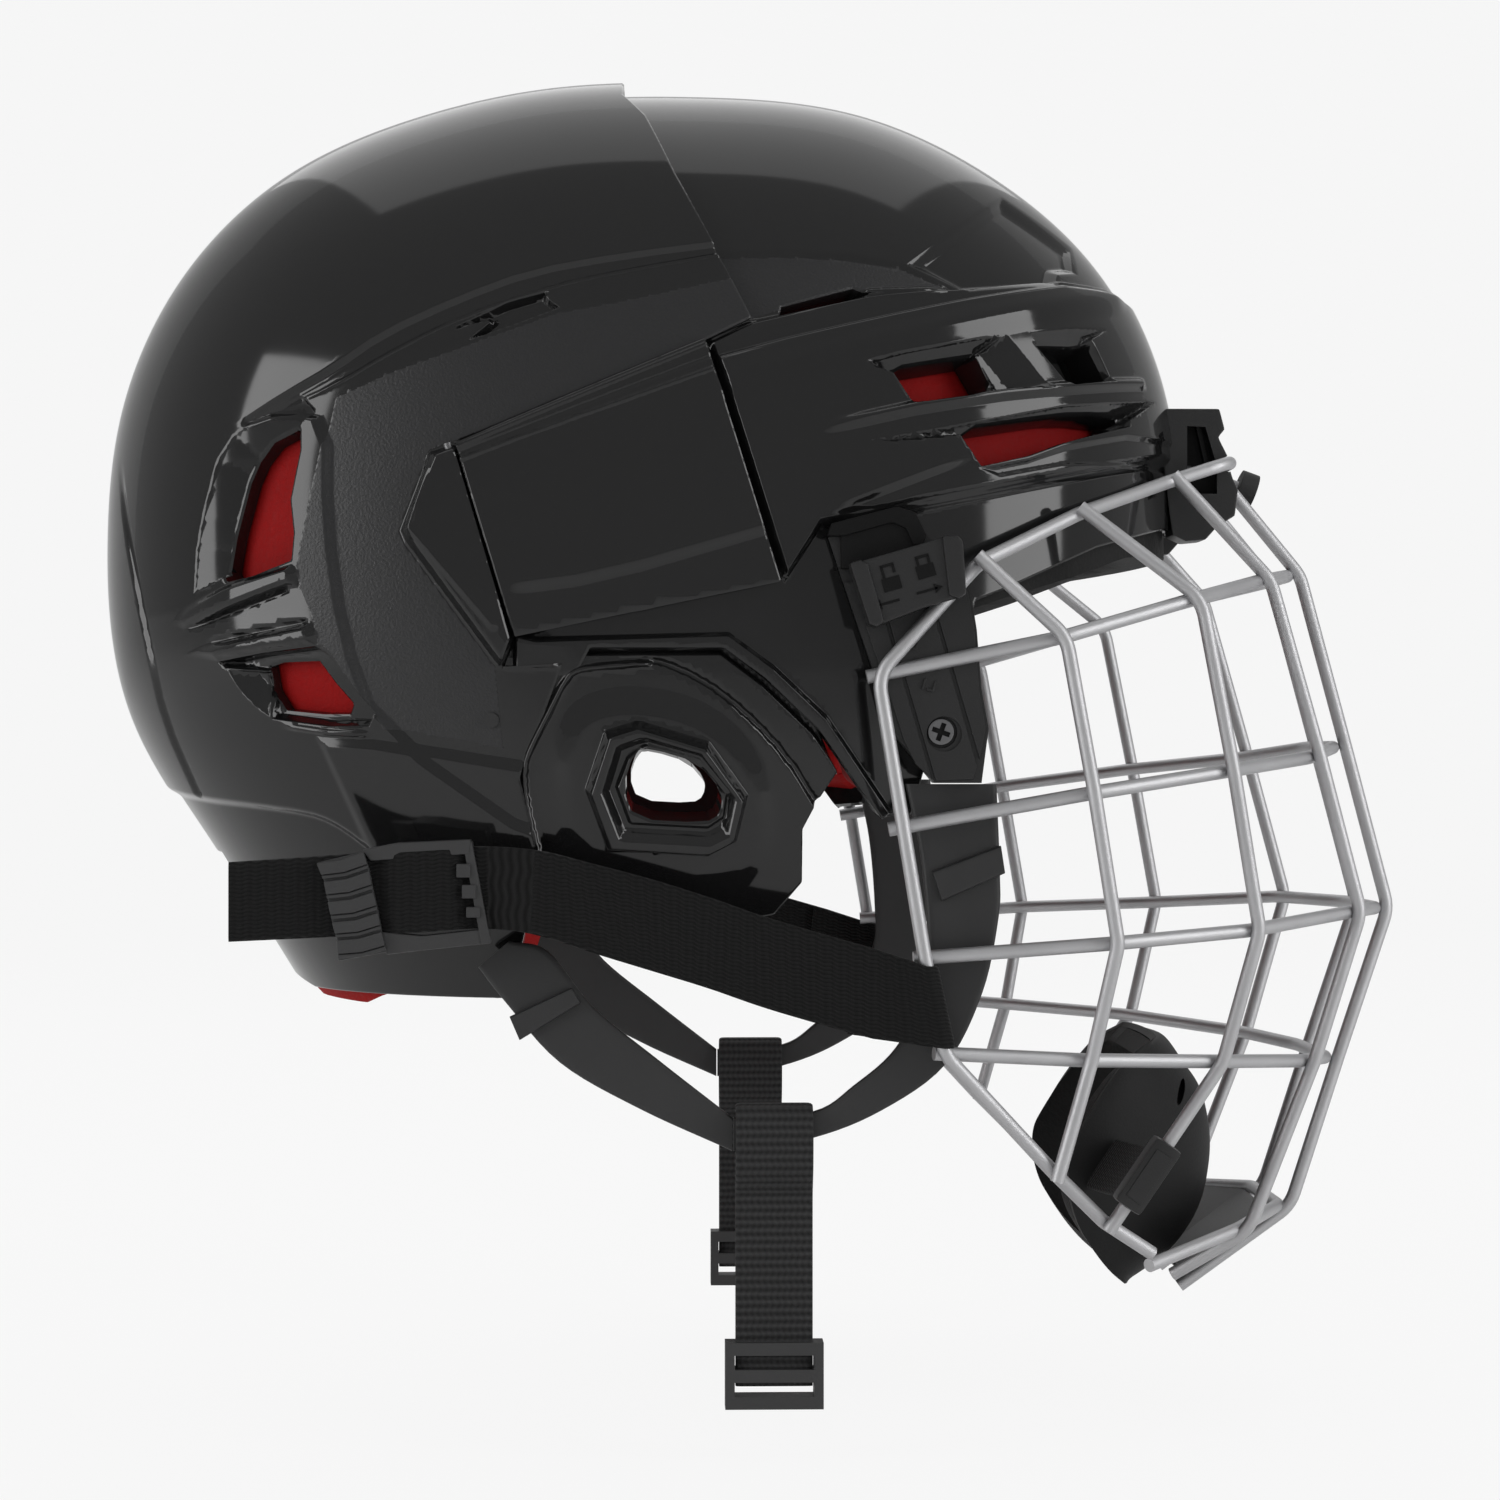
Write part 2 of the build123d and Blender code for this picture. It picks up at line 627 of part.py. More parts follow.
# Temple brackets, each screwed to the side of the front shell
bracket_outline = side_points(bracket_shares)
screw_x, screw_z = side(bracket_screw_share)
bracket = prism(bracket_outline, -bracket_face, -bracket_face / 2) - egg(front_face - seat_gap)
bracket -= cross_pin(screw_x, screw_z, bracket_face - bracket_counterbore, bracket_face,
                     bracket_head_radius + seat_gap)
screw_seat = bracket_face - bracket_counterbore
shank = cross_pin(screw_x, screw_z, guard_depth, screw_seat, bracket_screw_radius)
bracket -= shank
bracket_head = cross_pin(screw_x, screw_z, screw_seat, screw_seat + bracket_head_height, bracket_head_radius)
bracket_screw = (shank - egg(front_back)) + bracket_head

# Locks, each a slider on its bracket with a flange outside the rail
lock_outline = side_points(lock_shares)
lock_seat = bracket_face + seat_gap
lock_inner = cage_half_width + wire_radius + edge_gap
lock = prism(lock_outline, -lock_inner - lock_flange, -lock_seat)
rail_low, rail_high = rail_half[0], rail_half[1]
rail_run = Vector(rail_high[0] - rail_low[0], 0, rail_high[2] - rail_low[2]).normalized()
rail_up = Vector(-rail_run.Z, 0, rail_run.X)
channel_edge = [Vector(rail_low[0], 0, rail_low[2]) + rail_up * (wire_radius + lock_rail_gap) + rail_run * reach
                for reach in (-overrun, 2 * overrun)]
channel = [(v.X, v.Z) for v in channel_edge]
channel += [(v.X, v.Z) for v in (edge - rail_up * overrun for edge in reversed(channel_edge))]
lock -= prism(channel, -lock_inner, 0.0)
rib_low = lock_rib_height_share * shell_height
rib_start, rib_end = lock_rib_start_share * shell_length, lock_rib_end_share * shell_length
rib = [(rib_start, rib_low), (rib_end, rib_low), (rib_end, rib_low + lock_rib_width),
       (rib_start, rib_low + lock_rib_width)]
lock += prism(rib, -lock_seat, -bracket_face + lock_rib_height)
groove = [(rib_start - lock_travel - edge_gap, rib_low - seat_gap), (rib_end + edge_gap, rib_low - seat_gap),
          (rib_end + edge_gap, rib_low + lock_rib_width + seat_gap),
          (rib_start - lock_travel - edge_gap, rib_low + lock_rib_width + seat_gap)]
bracket -= prism(groove, -bracket_face, -bracket_face + lock_rib_height + seat_gap)
parts["temple_bracket_right"] = bracket
parts["temple_bracket_left"] = left(bracket)
parts["bracket_screws"] = pair(bracket_screw)
parts["cage_lock_right"] = lock
parts["cage_lock_left"] = left(lock)

# Slings of moulded plastic, each in a front and a rear half that meet under the jaw
front_inner, front_outer = side_points(sling_front_inner_shares), side_points(sling_front_outer_shares)
parts["sling_front_right"] = band(front_inner, front_outer, [sling_offset] * len(front_inner), sling_thickness)
parts["sling_front_left"] = left(parts["sling_front_right"])
rear_inner = side_points(sling_rear_inner_shares) + [shifted(front_inner[-1], -seat_gap, 0.0)]
rear_outer = side_points(sling_rear_outer_shares) + [shifted(front_outer[-1], -seat_gap, 0.0)]
rear_offsets = [sling_tab_offset + part * (sling_offset - sling_tab_offset) for part in sling_rear_part_shares]
parts["sling_rear_right"] = band(rear_inner, rear_outer, rear_offsets, sling_thickness)
parts["sling_rear_left"] = left(parts["sling_rear_right"])


def keeper(ends, offsets):
    """A small bar pressed onto the outside of a sling."""
    upper, lower = [side(end[0]) for end in ends], [side(end[1]) for end in ends]
    raised = [offset + (sling_thickness + keeper_thickness) / 2 - weld_depth for offset in offsets]
    return band(upper, lower, raised, keeper_thickness)


parts["sling_keepers_front"] = pair(keeper(front_keeper_shares, [sling_offset, sling_offset]))
keeper_offsets = rear_offsets[1:3]
parts["sling_keepers_rear"] = pair(keeper(rear_keeper_shares, keeper_offsets))
stud_x, stud_z = side(sling_stud_share)
sling_stud = cross_pin(stud_x, stud_z, guard_depth, sling_tab_offset, stud_radius) - egg(rear_wall)
parts["sling_studs"] = pair(sling_stud)

# Side straps of webbing, looped round the rear posts of the cage
strap_upper, strap_lower = side_points(strap_upper_shares), side_points(strap_lower_shares)
webbing = band(strap_upper, strap_lower, [strap_offset] * len(strap_upper), webbing_thickness)
post_low, post_high = posts[3], posts[2]
loop_top = post_high[2] - wire_radius - loop_gap
loop_bottom = post_low[2] + wire_radius + loop_gap
loop_start, loop_end = strap_upper[-1][0] - edge_gap, post_low[0] + loop_lead
loop = [(loop_start, loop_bottom), (loop_end, loop_bottom), (loop_end, loop_top), (loop_start, loop_top)]
strap = webbing + prism(loop, -strap_offset - loop_thickness / 2, -strap_offset + loop_thickness / 2)
strap -= rod(post_low, post_high, wire_radius + running_gap)
parts["side_strap_right"] = strap
parts["side_strap_left"] = left(strap)

buckle_outline = side_points(side_buckle_shares)
buckle_low = strap_offset - side_buckle_thickness / 2
buckle_high = strap_offset + side_buckle_thickness / 2
buckle = prism(buckle_outline, -buckle_high, -buckle_low) - webbing
buckle_top, buckle_bottom = buckle_outline[0][1], buckle_outline[2][1]
window_start, window_end = (share * shell_length for share in side_buckle_window_share)
window = [(window_start, buckle_bottom + side_buckle_bar), (window_end, buckle_bottom + side_buckle_bar),
          (window_end, buckle_top - side_buckle_bar), (window_start, buckle_top - side_buckle_bar)]
buckle -= prism(window, -buckle_high, -buckle_low)
parts["side_buckle_right"] = buckle
parts["side_buckle_left"] = left(buckle)
anchor_x, anchor_z = side(anchor_share)
anchor = cross_pin(anchor_x, anchor_z, guard_depth, buckle_low - seat_gap, anchor_radius) - egg(rear_wall / 2)
parts["strap_anchors"] = pair(anchor)

# Chin straps of webbing, hung on the slings
hang_x = front_inner[-1][0] + edge_gap + chin_webbing_width / 2
hang_low, hang_high = hang_x - chin_webbing_width / 2, hang_x + chin_webbing_width / 2
edge_run = (front_inner[-2][1] - front_inner[-1][1]) / (front_inner[-2][0] - front_inner[-1][0])
sling_high = front_inner[-1][1] + edge_run * (hang_high - front_inner[-1][0])
loop_high = sling_high + edge_gap
loop_low = loop_high - chin_loop_depth
strap_bottom = loop_low - chin_loop_wall - chin_strap_drop
half_inside = chin_loop_inside / 2


def yz_block(y_low, y_high, z_low, z_high, x_low, x_high):
    """A block from its limits along each axis."""
    low = Vector(x_low, y_low, z_low)
    size = (x_high - x_low, y_high - y_low, z_high - z_low)
    return Pos(*low) * Box(*size, align=(Align.MIN, Align.MIN, Align.MIN))


wall = chin_loop_wall
chin_strap = yz_block(-sling_offset - half_inside - wall, -sling_offset + half_inside + wall,
                      loop_low - wall, loop_high + wall, hang_low, hang_high)
chin_strap -= yz_block(-sling_offset - half_inside, -sling_offset + half_inside, loop_low, loop_high,
                       hang_low, hang_high)
chin_strap += yz_block(-sling_offset - chin_strap_thickness / 2, -sling_offset + chin_strap_thickness / 2,
                       strap_bottom, loop_low, hang_low, hang_high)
parts["chin_strap_right"] = chin_strap
parts["chin_strap_left"] = left(chin_strap)
buckle_centre = strap_bottom + chin_buckle_bar
chin_buckle = Pos(hang_x, -sling_offset, buckle_centre) * Box(
    chin_buckle_width, chin_buckle_thickness, chin_buckle_height)
gap_height = (chin_buckle_height - 3 * chin_buckle_bar) / 2
for sign in (-1, 1):
    place = Pos(hang_x, -sling_offset, buckle_centre + sign * (gap_height + chin_buckle_bar) / 2)
    chin_buckle -= place * Box(chin_webbing_width + edge_gap, chin_buckle_thickness, gap_height)
chin_buckle -= chin_strap
parts["chin_buckle_right"] = chin_buckle
parts["chin_buckle_left"] = left(chin_buckle)

# Chin cup, a soft pad in a shell that straps hold to the outer uprights
mouth_x = rail_forward + cup_mouth_share[0] * cage_length
cup_z = rail_height + cup_mouth_share[1] * cage_drop
side_x = rail_forward + cup_side_share[0] * cage_length


def cup_layer(outer, inner):
    """The cup's wall between two depths, open to the back and cut to its oval side."""
    shapes = []
    for inset in (outer, inner):
        radii = (cup_depth - inset, cup_half_width - inset, cup_half_height - inset)
        shapes.append(Pos(mouth_x, 0, cup_z) * scale(Sphere(1), by=radii))
    oval = Ellipse(cup_side_length / 2 - outer, cup_side_height / 2 - outer)
    place = Plane(origin=(side_x, cup_half_width, cup_z), x_dir=(1, 0, 0), z_dir=(0, -1, 0))
    cutter = extrude(place * Rot(0, 0, cup_tilt) * oval, amount=2 * cup_half_width)
    return (shapes[0] - shapes[1]) & cutter


parts["chin_cup_shell"] = cup_layer(0.0, cup_shell_wall)
parts["chin_cup_pad"] = cup_layer(cup_shell_wall + seat_gap, cup_shell_wall + cup_pad_wall)

lower_run = (Vector(*uprights[3][5]) - Vector(*uprights[3][4])).normalized()
sleeve_centre = Vector(*between(uprights[3][4], uprights[3][5], sleeve_place_share))
sleeve_start = sleeve_centre - lower_run * (sleeve_length / 2)
sleeve_end = sleeve_centre + lower_run * (sleeve_length / 2)
sleeve = extrude(Plane(origin=sleeve_start, x_dir=(0, 1, 0), z_dir=lower_run) * Rectangle(
    sleeve_size, sleeve_size), amount=sleeve_length)
sleeve -= rod(tuple(sleeve_start), tuple(sleeve_end), wire_radius + running_gap)
parts["cup_sleeves"] = pair(sleeve)
strap_x = mouth_x + cup_strap_start_share * cup_depth
cup_side = cup_half_width * math.sqrt(1 - cup_strap_start_share ** 2)
strap_start = Vector(strap_x, -cup_side + cup_shell_wall / 2, cup_z)
strap_end = sleeve_centre + Vector(0, sleeve_size / 2 - weld_depth, 0)
strap_run = strap_end - strap_start
cup_strap = extrude(Plane(origin=strap_start, x_dir=lower_run, z_dir=strap_run) * Rectangle(
    cup_strap_width, cup_strap_thickness), amount=strap_run.length)
parts["cup_straps"] = pair(cup_strap)

os.makedirs("parts", exist_ok=True)
for name, shape in parts.items():
    export_step(shape, "parts/%s.step" % name)
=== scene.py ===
"""An ice hockey helmet with a wire face cage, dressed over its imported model."""
import json
import math

import bmesh
import bpy
import numpy as np
from mathutils import Matrix, Vector

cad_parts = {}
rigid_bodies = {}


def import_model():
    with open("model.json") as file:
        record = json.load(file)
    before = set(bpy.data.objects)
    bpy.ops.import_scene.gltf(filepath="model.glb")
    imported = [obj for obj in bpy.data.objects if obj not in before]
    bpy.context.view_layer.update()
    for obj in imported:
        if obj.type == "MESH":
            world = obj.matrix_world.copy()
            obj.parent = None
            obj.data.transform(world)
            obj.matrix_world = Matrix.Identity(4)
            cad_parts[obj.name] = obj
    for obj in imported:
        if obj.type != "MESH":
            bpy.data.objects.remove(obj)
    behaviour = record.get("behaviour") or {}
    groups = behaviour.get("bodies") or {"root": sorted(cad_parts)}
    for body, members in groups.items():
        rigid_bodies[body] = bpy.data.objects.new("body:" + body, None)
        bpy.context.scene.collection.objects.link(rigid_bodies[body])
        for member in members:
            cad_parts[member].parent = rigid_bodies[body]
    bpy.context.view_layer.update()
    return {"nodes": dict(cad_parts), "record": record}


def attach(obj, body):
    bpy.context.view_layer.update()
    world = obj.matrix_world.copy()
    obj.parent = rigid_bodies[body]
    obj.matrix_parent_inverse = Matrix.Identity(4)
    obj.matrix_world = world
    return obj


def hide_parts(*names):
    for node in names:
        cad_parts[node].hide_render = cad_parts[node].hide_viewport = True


for leftover in list(bpy.data.objects):
    bpy.data.objects.remove(leftover)
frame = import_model()
nodes = frame["nodes"]
millimetre = 0.001
both_sides = ("right", "left")

# The head shape, as in the CAD: shares of its length forward and of its height up
head_length, head_height, head_half_width, roundness = 283.0, 140.0, 104.0, 2.4
head_radius = (head_length / 2 + head_height) / 2
head_shares = [
    (-0.496, 0.143), (-0.484, 0.371), (-0.428, 0.629), (-0.332, 0.821), (-0.212, 0.932),
    (-0.088, 0.989), (0.053, 1.000), (0.201, 0.968), (0.325, 0.857), (0.428, 0.679),
    (0.488, 0.443), (0.505, 0.200), (0.502, -0.107), (0.466, -0.500), (0.360, -0.843),
    (0.177, -1.043), (-0.035, -1.086), (-0.212, -0.957), (-0.329, -0.671), (-0.410, -0.414),
    (-0.472, -0.200),
]


def head_ring(parts=24):
    """Angles and radii of the smooth closed curve through the head's side outline."""
    knots = np.array(head_shares) * (head_length, head_height)
    count = len(knots)
    after = np.roll(knots, -1, 0)
    step = np.linalg.norm(after - knots, axis=1)
    system, load = np.zeros((count, count)), np.zeros((count, 2))
    for i in range(count):
        before = step[i - 1]
        system[i, i - 1] += before
        system[i, i] += 2 * (before + step[i])
        system[i, (i + 1) % count] += step[i]
        load[i] = 6 * ((after[i] - knots[i]) / step[i] - (knots[i] - knots[i - 1]) / before)
    bend = np.linalg.solve(system, load)
    curve = []
    for i in range(count):
        for t in np.linspace(0, 1, parts, endpoint=False):
            a = 1 - t
            curve.append(a * knots[i] + t * after[i] + step[i] ** 2 / 6 * (
                (a ** 3 - a) * bend[i] + (t ** 3 - t) * bend[(i + 1) % count]))
    curve = np.array(curve)
    angle = np.arctan2(curve[:, 1], curve[:, 0])
    order = np.argsort(angle)
    return angle[order], np.hypot(*curve.T)[order]


ring_angle, ring_radius = head_ring()


def head_reach(angle):
    """The head outline's radius at an angle of the side view."""
    return np.interp(angle, ring_angle, ring_radius, period=2 * np.pi)


def on_chart(view):
    """Chart places of side-view points. The chart unrolls one side of the head from its ear to its middle."""
    view = np.asarray(view, float)
    angle = np.arctan2(view[:, 1], view[:, 0])
    full = head_reach(angle)
    ring = np.clip(np.hypot(view[:, 0], view[:, 1]) / full, 0, 1)
    return view * (np.arcsin(ring ** (roundness / 2)) / (np.pi / 2) / np.maximum(ring, 1e-6))[:, None]


def from_chart(chart):
    """Side-view place, ring share and side share of chart points."""
    angle = np.arctan2(chart[:, 1], chart[:, 0])
    full = head_reach(angle)
    part = np.clip(np.hypot(chart[:, 0], chart[:, 1]) / full, 0, 1)
    ring = np.sin(part * np.pi / 2) ** (2 / roundness)
    side = np.cos(part * np.pi / 2) ** (2 / roundness)
    side[part > 0.9999] = 0
    return full * ring * np.cos(angle), full * ring * np.sin(angle), part, side


class Drawn:
    """A line drawn on the side view, open or closed, as a field of signed distance in millimetres."""

    beyond = 99.0

    def __init__(self, points, closed=False, soft=0):
        points = np.array(points, float)
        for _ in range(soft):
            ahead = np.roll(points, -1, 0) if closed else points[1:]
            here = points if closed else points[:-1]
            cut = np.stack([0.75 * here + 0.25 * ahead, 0.25 * here + 0.75 * ahead], 1).reshape(-1, 2)
            points = cut if closed else np.vstack([points[:1], cut[1:-1], points[-1:]])
        self.closed = closed
        self.points = np.vstack([points, points[:1]]) if closed else points
        self.length = np.linalg.norm(np.diff(self.points, axis=0), axis=1)

    def measure(self, view, margin=14.0):
        """Distance, positive on the left of an open line or inside a closed one, and the share along it."""
        x, z = view[:, 0], view[:, 1]
        low, high = self.points.min(0) - margin, self.points.max(0) + margin
        near = (x > low[0]) & (x < high[0]) & (z > low[1]) & (z < high[1])
        gap, along = np.full(len(x), self.beyond), np.zeros(len(x))
        px, pz = x[near], z[near]
        best, sign, place = np.full(len(px), 1e9), np.ones(len(px)), np.zeros(len(px))
        inner = np.zeros(len(px), bool)
        start = 0.0
        for (ax, az), (bx, bz), long in zip(self.points[:-1], self.points[1:], self.length):
            dx, dz = bx - ax, bz - az
            t = np.clip(((px - ax) * dx + (pz - az) * dz) / max(long * long, 1e-9), 0, 1)
            away = np.hypot(px - ax - t * dx, pz - az - t * dz)
            closer = away < best
            best[closer] = away[closer]
            place[closer] = (start + t * long)[closer]
            sign[closer] = np.sign(dx * (pz - az) - dz * (px - ax))[closer]
            if self.closed:
                crosses = (az > pz) != (bz > pz)
                inner ^= crosses & (px < ax + dx * (pz - az) / (dz if dz else 1e-9))
            start += long
        if self.closed:
            sign = np.where(inner, 1.0, -1.0)
            gap[:] = -self.beyond
        gap[near] = best * np.where(sign == 0, 1, sign)
        along[near] = place / start
        return gap, along

    def __call__(self, view):
        return self.measure(view)[0]


def ease(t):
    """A soft rise from 0 to 1."""
    t = np.clip(t, 0, 1)
    return t * t * (3 - 2 * t)


class Fold:
    """A ridge or, with a negative height, a groove along a drawn line.

    It reaches half to each side, and rises over the fade's share of its length at either end.
    """

    def __init__(self, points, half, height, soft=1, fade=(0.0, 0.0), sharp=False):
        self.line, self.half, self.height, self.fade = Drawn(points, soft=soft), half, height, fade
        self.knots = np.array([0.0, 0.45, 1.0] if half < 2 else [0.0, 0.2, 0.5, 0.8, 1.0])
        if sharp:
            self.knots = np.array([0.0, 1.0])

    def rise(self, view, smooth=False):
        """How far the feature stands out at places of the side view, in flat facets or smoothly."""
        gap, along = self.line.measure(view)
        share = np.abs(gap) / self.half
        shape = ease(1 - share) if smooth else np.interp(share, self.knots, ease(1 - self.knots))
        for share, place in zip(self.fade, (along, 1 - along)):
            if share:
                shape = shape * ease(place / share)
        return self.height * shape

    def seams(self):
        """Drawn lines, and distances beside them, where the feature's facets meet."""
        ways = [(knot, sign) for knot in self.knots for sign in ((-1, 1) if knot else (1,))]
        return [(self.line, sign * knot * self.half) for knot, sign in ways]


class Step:
    """A closed area of the side view that stands higher, or with a negative height lower.

    Its slope is the width of its edge, of which the share called outside lies beyond the drawn line. A fade
    gives the places forward between which it rises.
    """

    def __init__(self, points, slope, height, soft=0, outside=0.5, fade=None):
        self.line, self.slope, self.height, self.outside = Drawn(points, True, soft), slope, height, outside
        self.fade = fade
        self.knots = np.array([0.0, 0.2, 0.8, 1.0] if slope < 2.5 else [0.0, 0.15, 0.35, 0.65, 0.85, 1.0])

    def rise(self, view, smooth=False):
        share = self.line(view) / self.slope + self.outside
        shape = ease(share) if smooth else np.interp(share, self.knots, ease(self.knots))
        if self.fade:
            start, end = self.fade
            shape = shape * ease((view[:, 0] - start) / (end - start))
        return self.height * shape

    def seams(self):
        return [(self.line, (knot - self.outside) * self.slope) for knot in self.knots]


class Ramp:
    """An area whose floor runs down to the left of a drawn line, as the wall above a vent does.

    The rest is what closes the line to the area's outline.
    """

    def __init__(self, line, width, depth, rest, edge=0.6):
        self.line, self.area = Drawn(line), Drawn(line + rest, True)
        self.width, self.depth, self.edge = width, depth, edge

    def rise(self, view, smooth=False):
        fall = np.clip(self.line(view) / self.width, 0, 1)
        return -self.depth * fall * np.clip(self.area(view) / self.edge, 0, 1)

    def seams(self):
        return [(self.line, 0.0), (self.line, self.width), (self.area, 0.0), (self.area, self.edge)]


def from_middle(view):
    """How far places lie inside the head's middle line, in millimetres."""
    return view[:, 2]


class Skin:
    """A triangulated patch of the head's chart that drawn lines divide and trim."""

    row_height, margin, anywhere, on_line = 0.866, 8.0, 99.0, 1e-4

    def __init__(self, outline, grid):
        places = on_chart(np.array(outline, float))
        low, high = places.min(0) - self.margin, places.max(0) + self.margin
        across = int((high[0] - low[0]) / grid) + 2
        up = int((high[1] - low[1]) / grid / self.row_height) + 2
        i, j = np.meshgrid(np.arange(across), np.arange(up))
        chart_x = low[0] + (i + 0.5 * (j % 2)) * grid
        chart_z = low[1] + j * grid * self.row_height
        self.chart = np.stack([chart_x.ravel(), chart_z.ravel()], 1)
        a = (j[:-1, :-1] * across + i[:-1, :-1])
        odd = (j[:-1, :-1] % 2 == 1)[..., None]
        b, c, d = a + 1, a + across, a + across + 1
        first = np.where(odd, np.stack([a, b, d], -1), np.stack([a, b, c], -1))
        second = np.where(odd, np.stack([a, d, c], -1), np.stack([b, d, c], -1))
        self.faces = np.vstack([first.reshape(-1, 3), second.reshape(-1, 3)])
        middle = self.chart[self.faces].mean(1)
        reach = head_reach(np.arctan2(middle[:, 1], middle[:, 0]))
        self.faces = self.faces[np.hypot(*middle.T) < 1.1 * reach]

    def view(self, chart=None):
        """Side-view places, and how far each lies inside the head's middle line."""
        chart = self.chart if chart is None else chart
        x, z, _, _ = from_chart(chart)
        part = np.hypot(chart[:, 0], chart[:, 1]) / head_reach(np.arctan2(chart[:, 1], chart[:, 0]))
        return np.stack([x, z, (1 - part) * head_height], 1)

    def divide(self, choose):
        """Puts a new point on each edge that choose gives a share for, and splits the triangles there."""
        faces, count = self.faces, len(self.chart)
        ahead = np.roll(faces, -1, 1)
        key = np.minimum(faces, ahead) * count + np.maximum(faces, ahead)
        edges, back = np.unique(key, return_inverse=True)
        back = back.reshape(key.shape)
        a, b = edges // count, edges % count
        share = choose(a, b)
        new = np.isfinite(share)
        if not new.any():
            return
        index = np.full(len(edges), -1)
        index[new] = count + np.arange(new.sum())
        start, end = self.chart[a[new]], self.chart[b[new]]
        self.chart = np.vstack([self.chart, start + share[new, None] * (end - start)])
        middle = index[back]
        number = (middle >= 0).sum(1)
        done = [faces[number == 0]]
        for many in (1, 2, 3):
            pick = number == many
            t, m = faces[pick], middle[pick]
            turn = np.zeros(len(t), int)
            if many == 1:
                turn = (m >= 0).argmax(1)
            elif many == 2:
                turn = ((m < 0).argmax(1) + 1) % 3
            order = (turn[:, None] + np.arange(3)) % 3
            rows = np.arange(len(t))[:, None]
            (t0, t1, t2), (m0, m1, m2) = t[rows, order].T, m[rows, order].T
            done += [np.stack(corner, 1) for corner in {
                1: [(t0, m0, t2), (m0, t1, t2)],
                2: [(m0, t1, m1), (t0, m0, m1), (t0, m1, t2)],
                3: [(t0, m0, m2), (m0, t1, m1), (m2, m1, t2), (m0, m1, m2)],
            }[many]]
        self.faces = np.vstack(done)

    def refine(self, field, size, reach=1.5):
        """Halves the edges near a drawn line until they are short."""
        for _ in range(3):
            gap = np.abs(field(self.view()))
            chart = self.chart

            def choose(a, b):
                long = np.linalg.norm(chart[a] - chart[b], axis=1)
                return np.where((long > size) & (np.minimum(gap[a], gap[b]) < reach + long), 0.5, np.nan)

            self.divide(choose)

    def score(self, field, at=0.0, reach=3.0, snap=0.05):
        """Runs the triangles' edges along a drawn line, or a distance beside it."""
        value = field(self.view()) - at

        def choose(a, b):
            low, high = np.sort([abs(value[a]), abs(value[b])], axis=0)
            crossed = (value[a] * value[b] < 0) & (low > snap) & (high < reach)
            with np.errstate(all="ignore"):
                return np.where(crossed, value[a] / (value[a] - value[b]), np.nan)

        self.divide(choose)

    def halve(self):
        """Cuts along the head's middle line and keeps the right half."""
        self.score(from_middle, 0.0, self.anywhere, self.on_line)
        inside = from_middle(self.view(self.chart[self.faces].mean(1)))
        self.faces = self.faces[inside > self.on_line]

    def trim(self, field, keep=1):
        """Cuts along a closed line and keeps what lies inside it, or outside it with keep=-1."""
        self.score(field)
        inside = field(self.view(self.chart[self.faces].mean(1)))
        self.faces = self.faces[inside * keep > 0]

    def place(self, chart, depth):
        """Points in millimetres on the right side, at depths below the head shape."""
        x, z, _, side = from_chart(chart)
        size = 1 - depth / head_radius
        return np.stack([x * size, -side * (head_half_width - depth), z * size], 1)

    def facing(self, depth_at, step=0.1):
        """The way a surface faces at each point in use, from small moves on the chart."""
        used = np.unique(self.faces)
        ends = []
        for move in ((step, 0), (-step, 0), (0, step), (0, -step)):
            chart = self.chart[used] + move
            ends.append(self.place(chart, depth_at(self.view(chart))))
        away = np.cross(ends[0] - ends[1], ends[2] - ends[3])
        away[from_chart(self.chart[used])[3] == 0, 1] = 0
        facing = np.zeros((len(self.chart), 3))
        facing[used] = away / np.maximum(np.linalg.norm(away, axis=1, keepdims=True), 1e-9)
        return facing

    def solid(self, outer, inner, sides="both"):
        """Points in millimetres and triangles of the closed solid between two depths below the head shape."""
        used, faces = np.unique(self.faces, return_inverse=True)
        faces, chart = faces.reshape(-1, 3), self.chart[used]
        side = from_chart(chart)[3]
        shells = [self.place(chart, depth[used]) for depth in (outer, inner)]
        count = len(chart)
        twin = np.where(side == 0, np.arange(count), count + np.arange(count))
        flip = np.array([1, -1, 1])
        if sides == "both":
            tops = np.vstack([faces, twin[faces][:, ::-1]])
            layers = [np.vstack([shell, shell * flip]) for shell in shells]
        elif sides == "left":
            tops, layers = faces[:, ::-1], [shell * flip for shell in shells]
        else:
            tops, layers = faces, shells
        total = len(layers[0])
        start, end = tops.ravel(), np.roll(tops, -1, 1).ravel()
        rim = ~np.isin(start * total + end, end * total + start)
        a, b = start[rim], end[rim]
        walls = np.vstack([np.stack([b, a, a + total], 1), np.stack([b, a + total, b + total], 1)])
        points = np.vstack(layers)
        faces = np.vstack([tops, tops[:, ::-1] + total, walls])
        kept, faces = np.unique(faces, return_inverse=True)
        source = kept % total % count if sides == "both" else kept % total
        return points[kept], faces.reshape(-1, 3), used[source], kept < total


def add_object(name, data):
    """A named object in the scene, from its data."""
    thing = bpy.data.objects.new(name, data)
    bpy.context.scene.collection.objects.link(thing)
    return thing


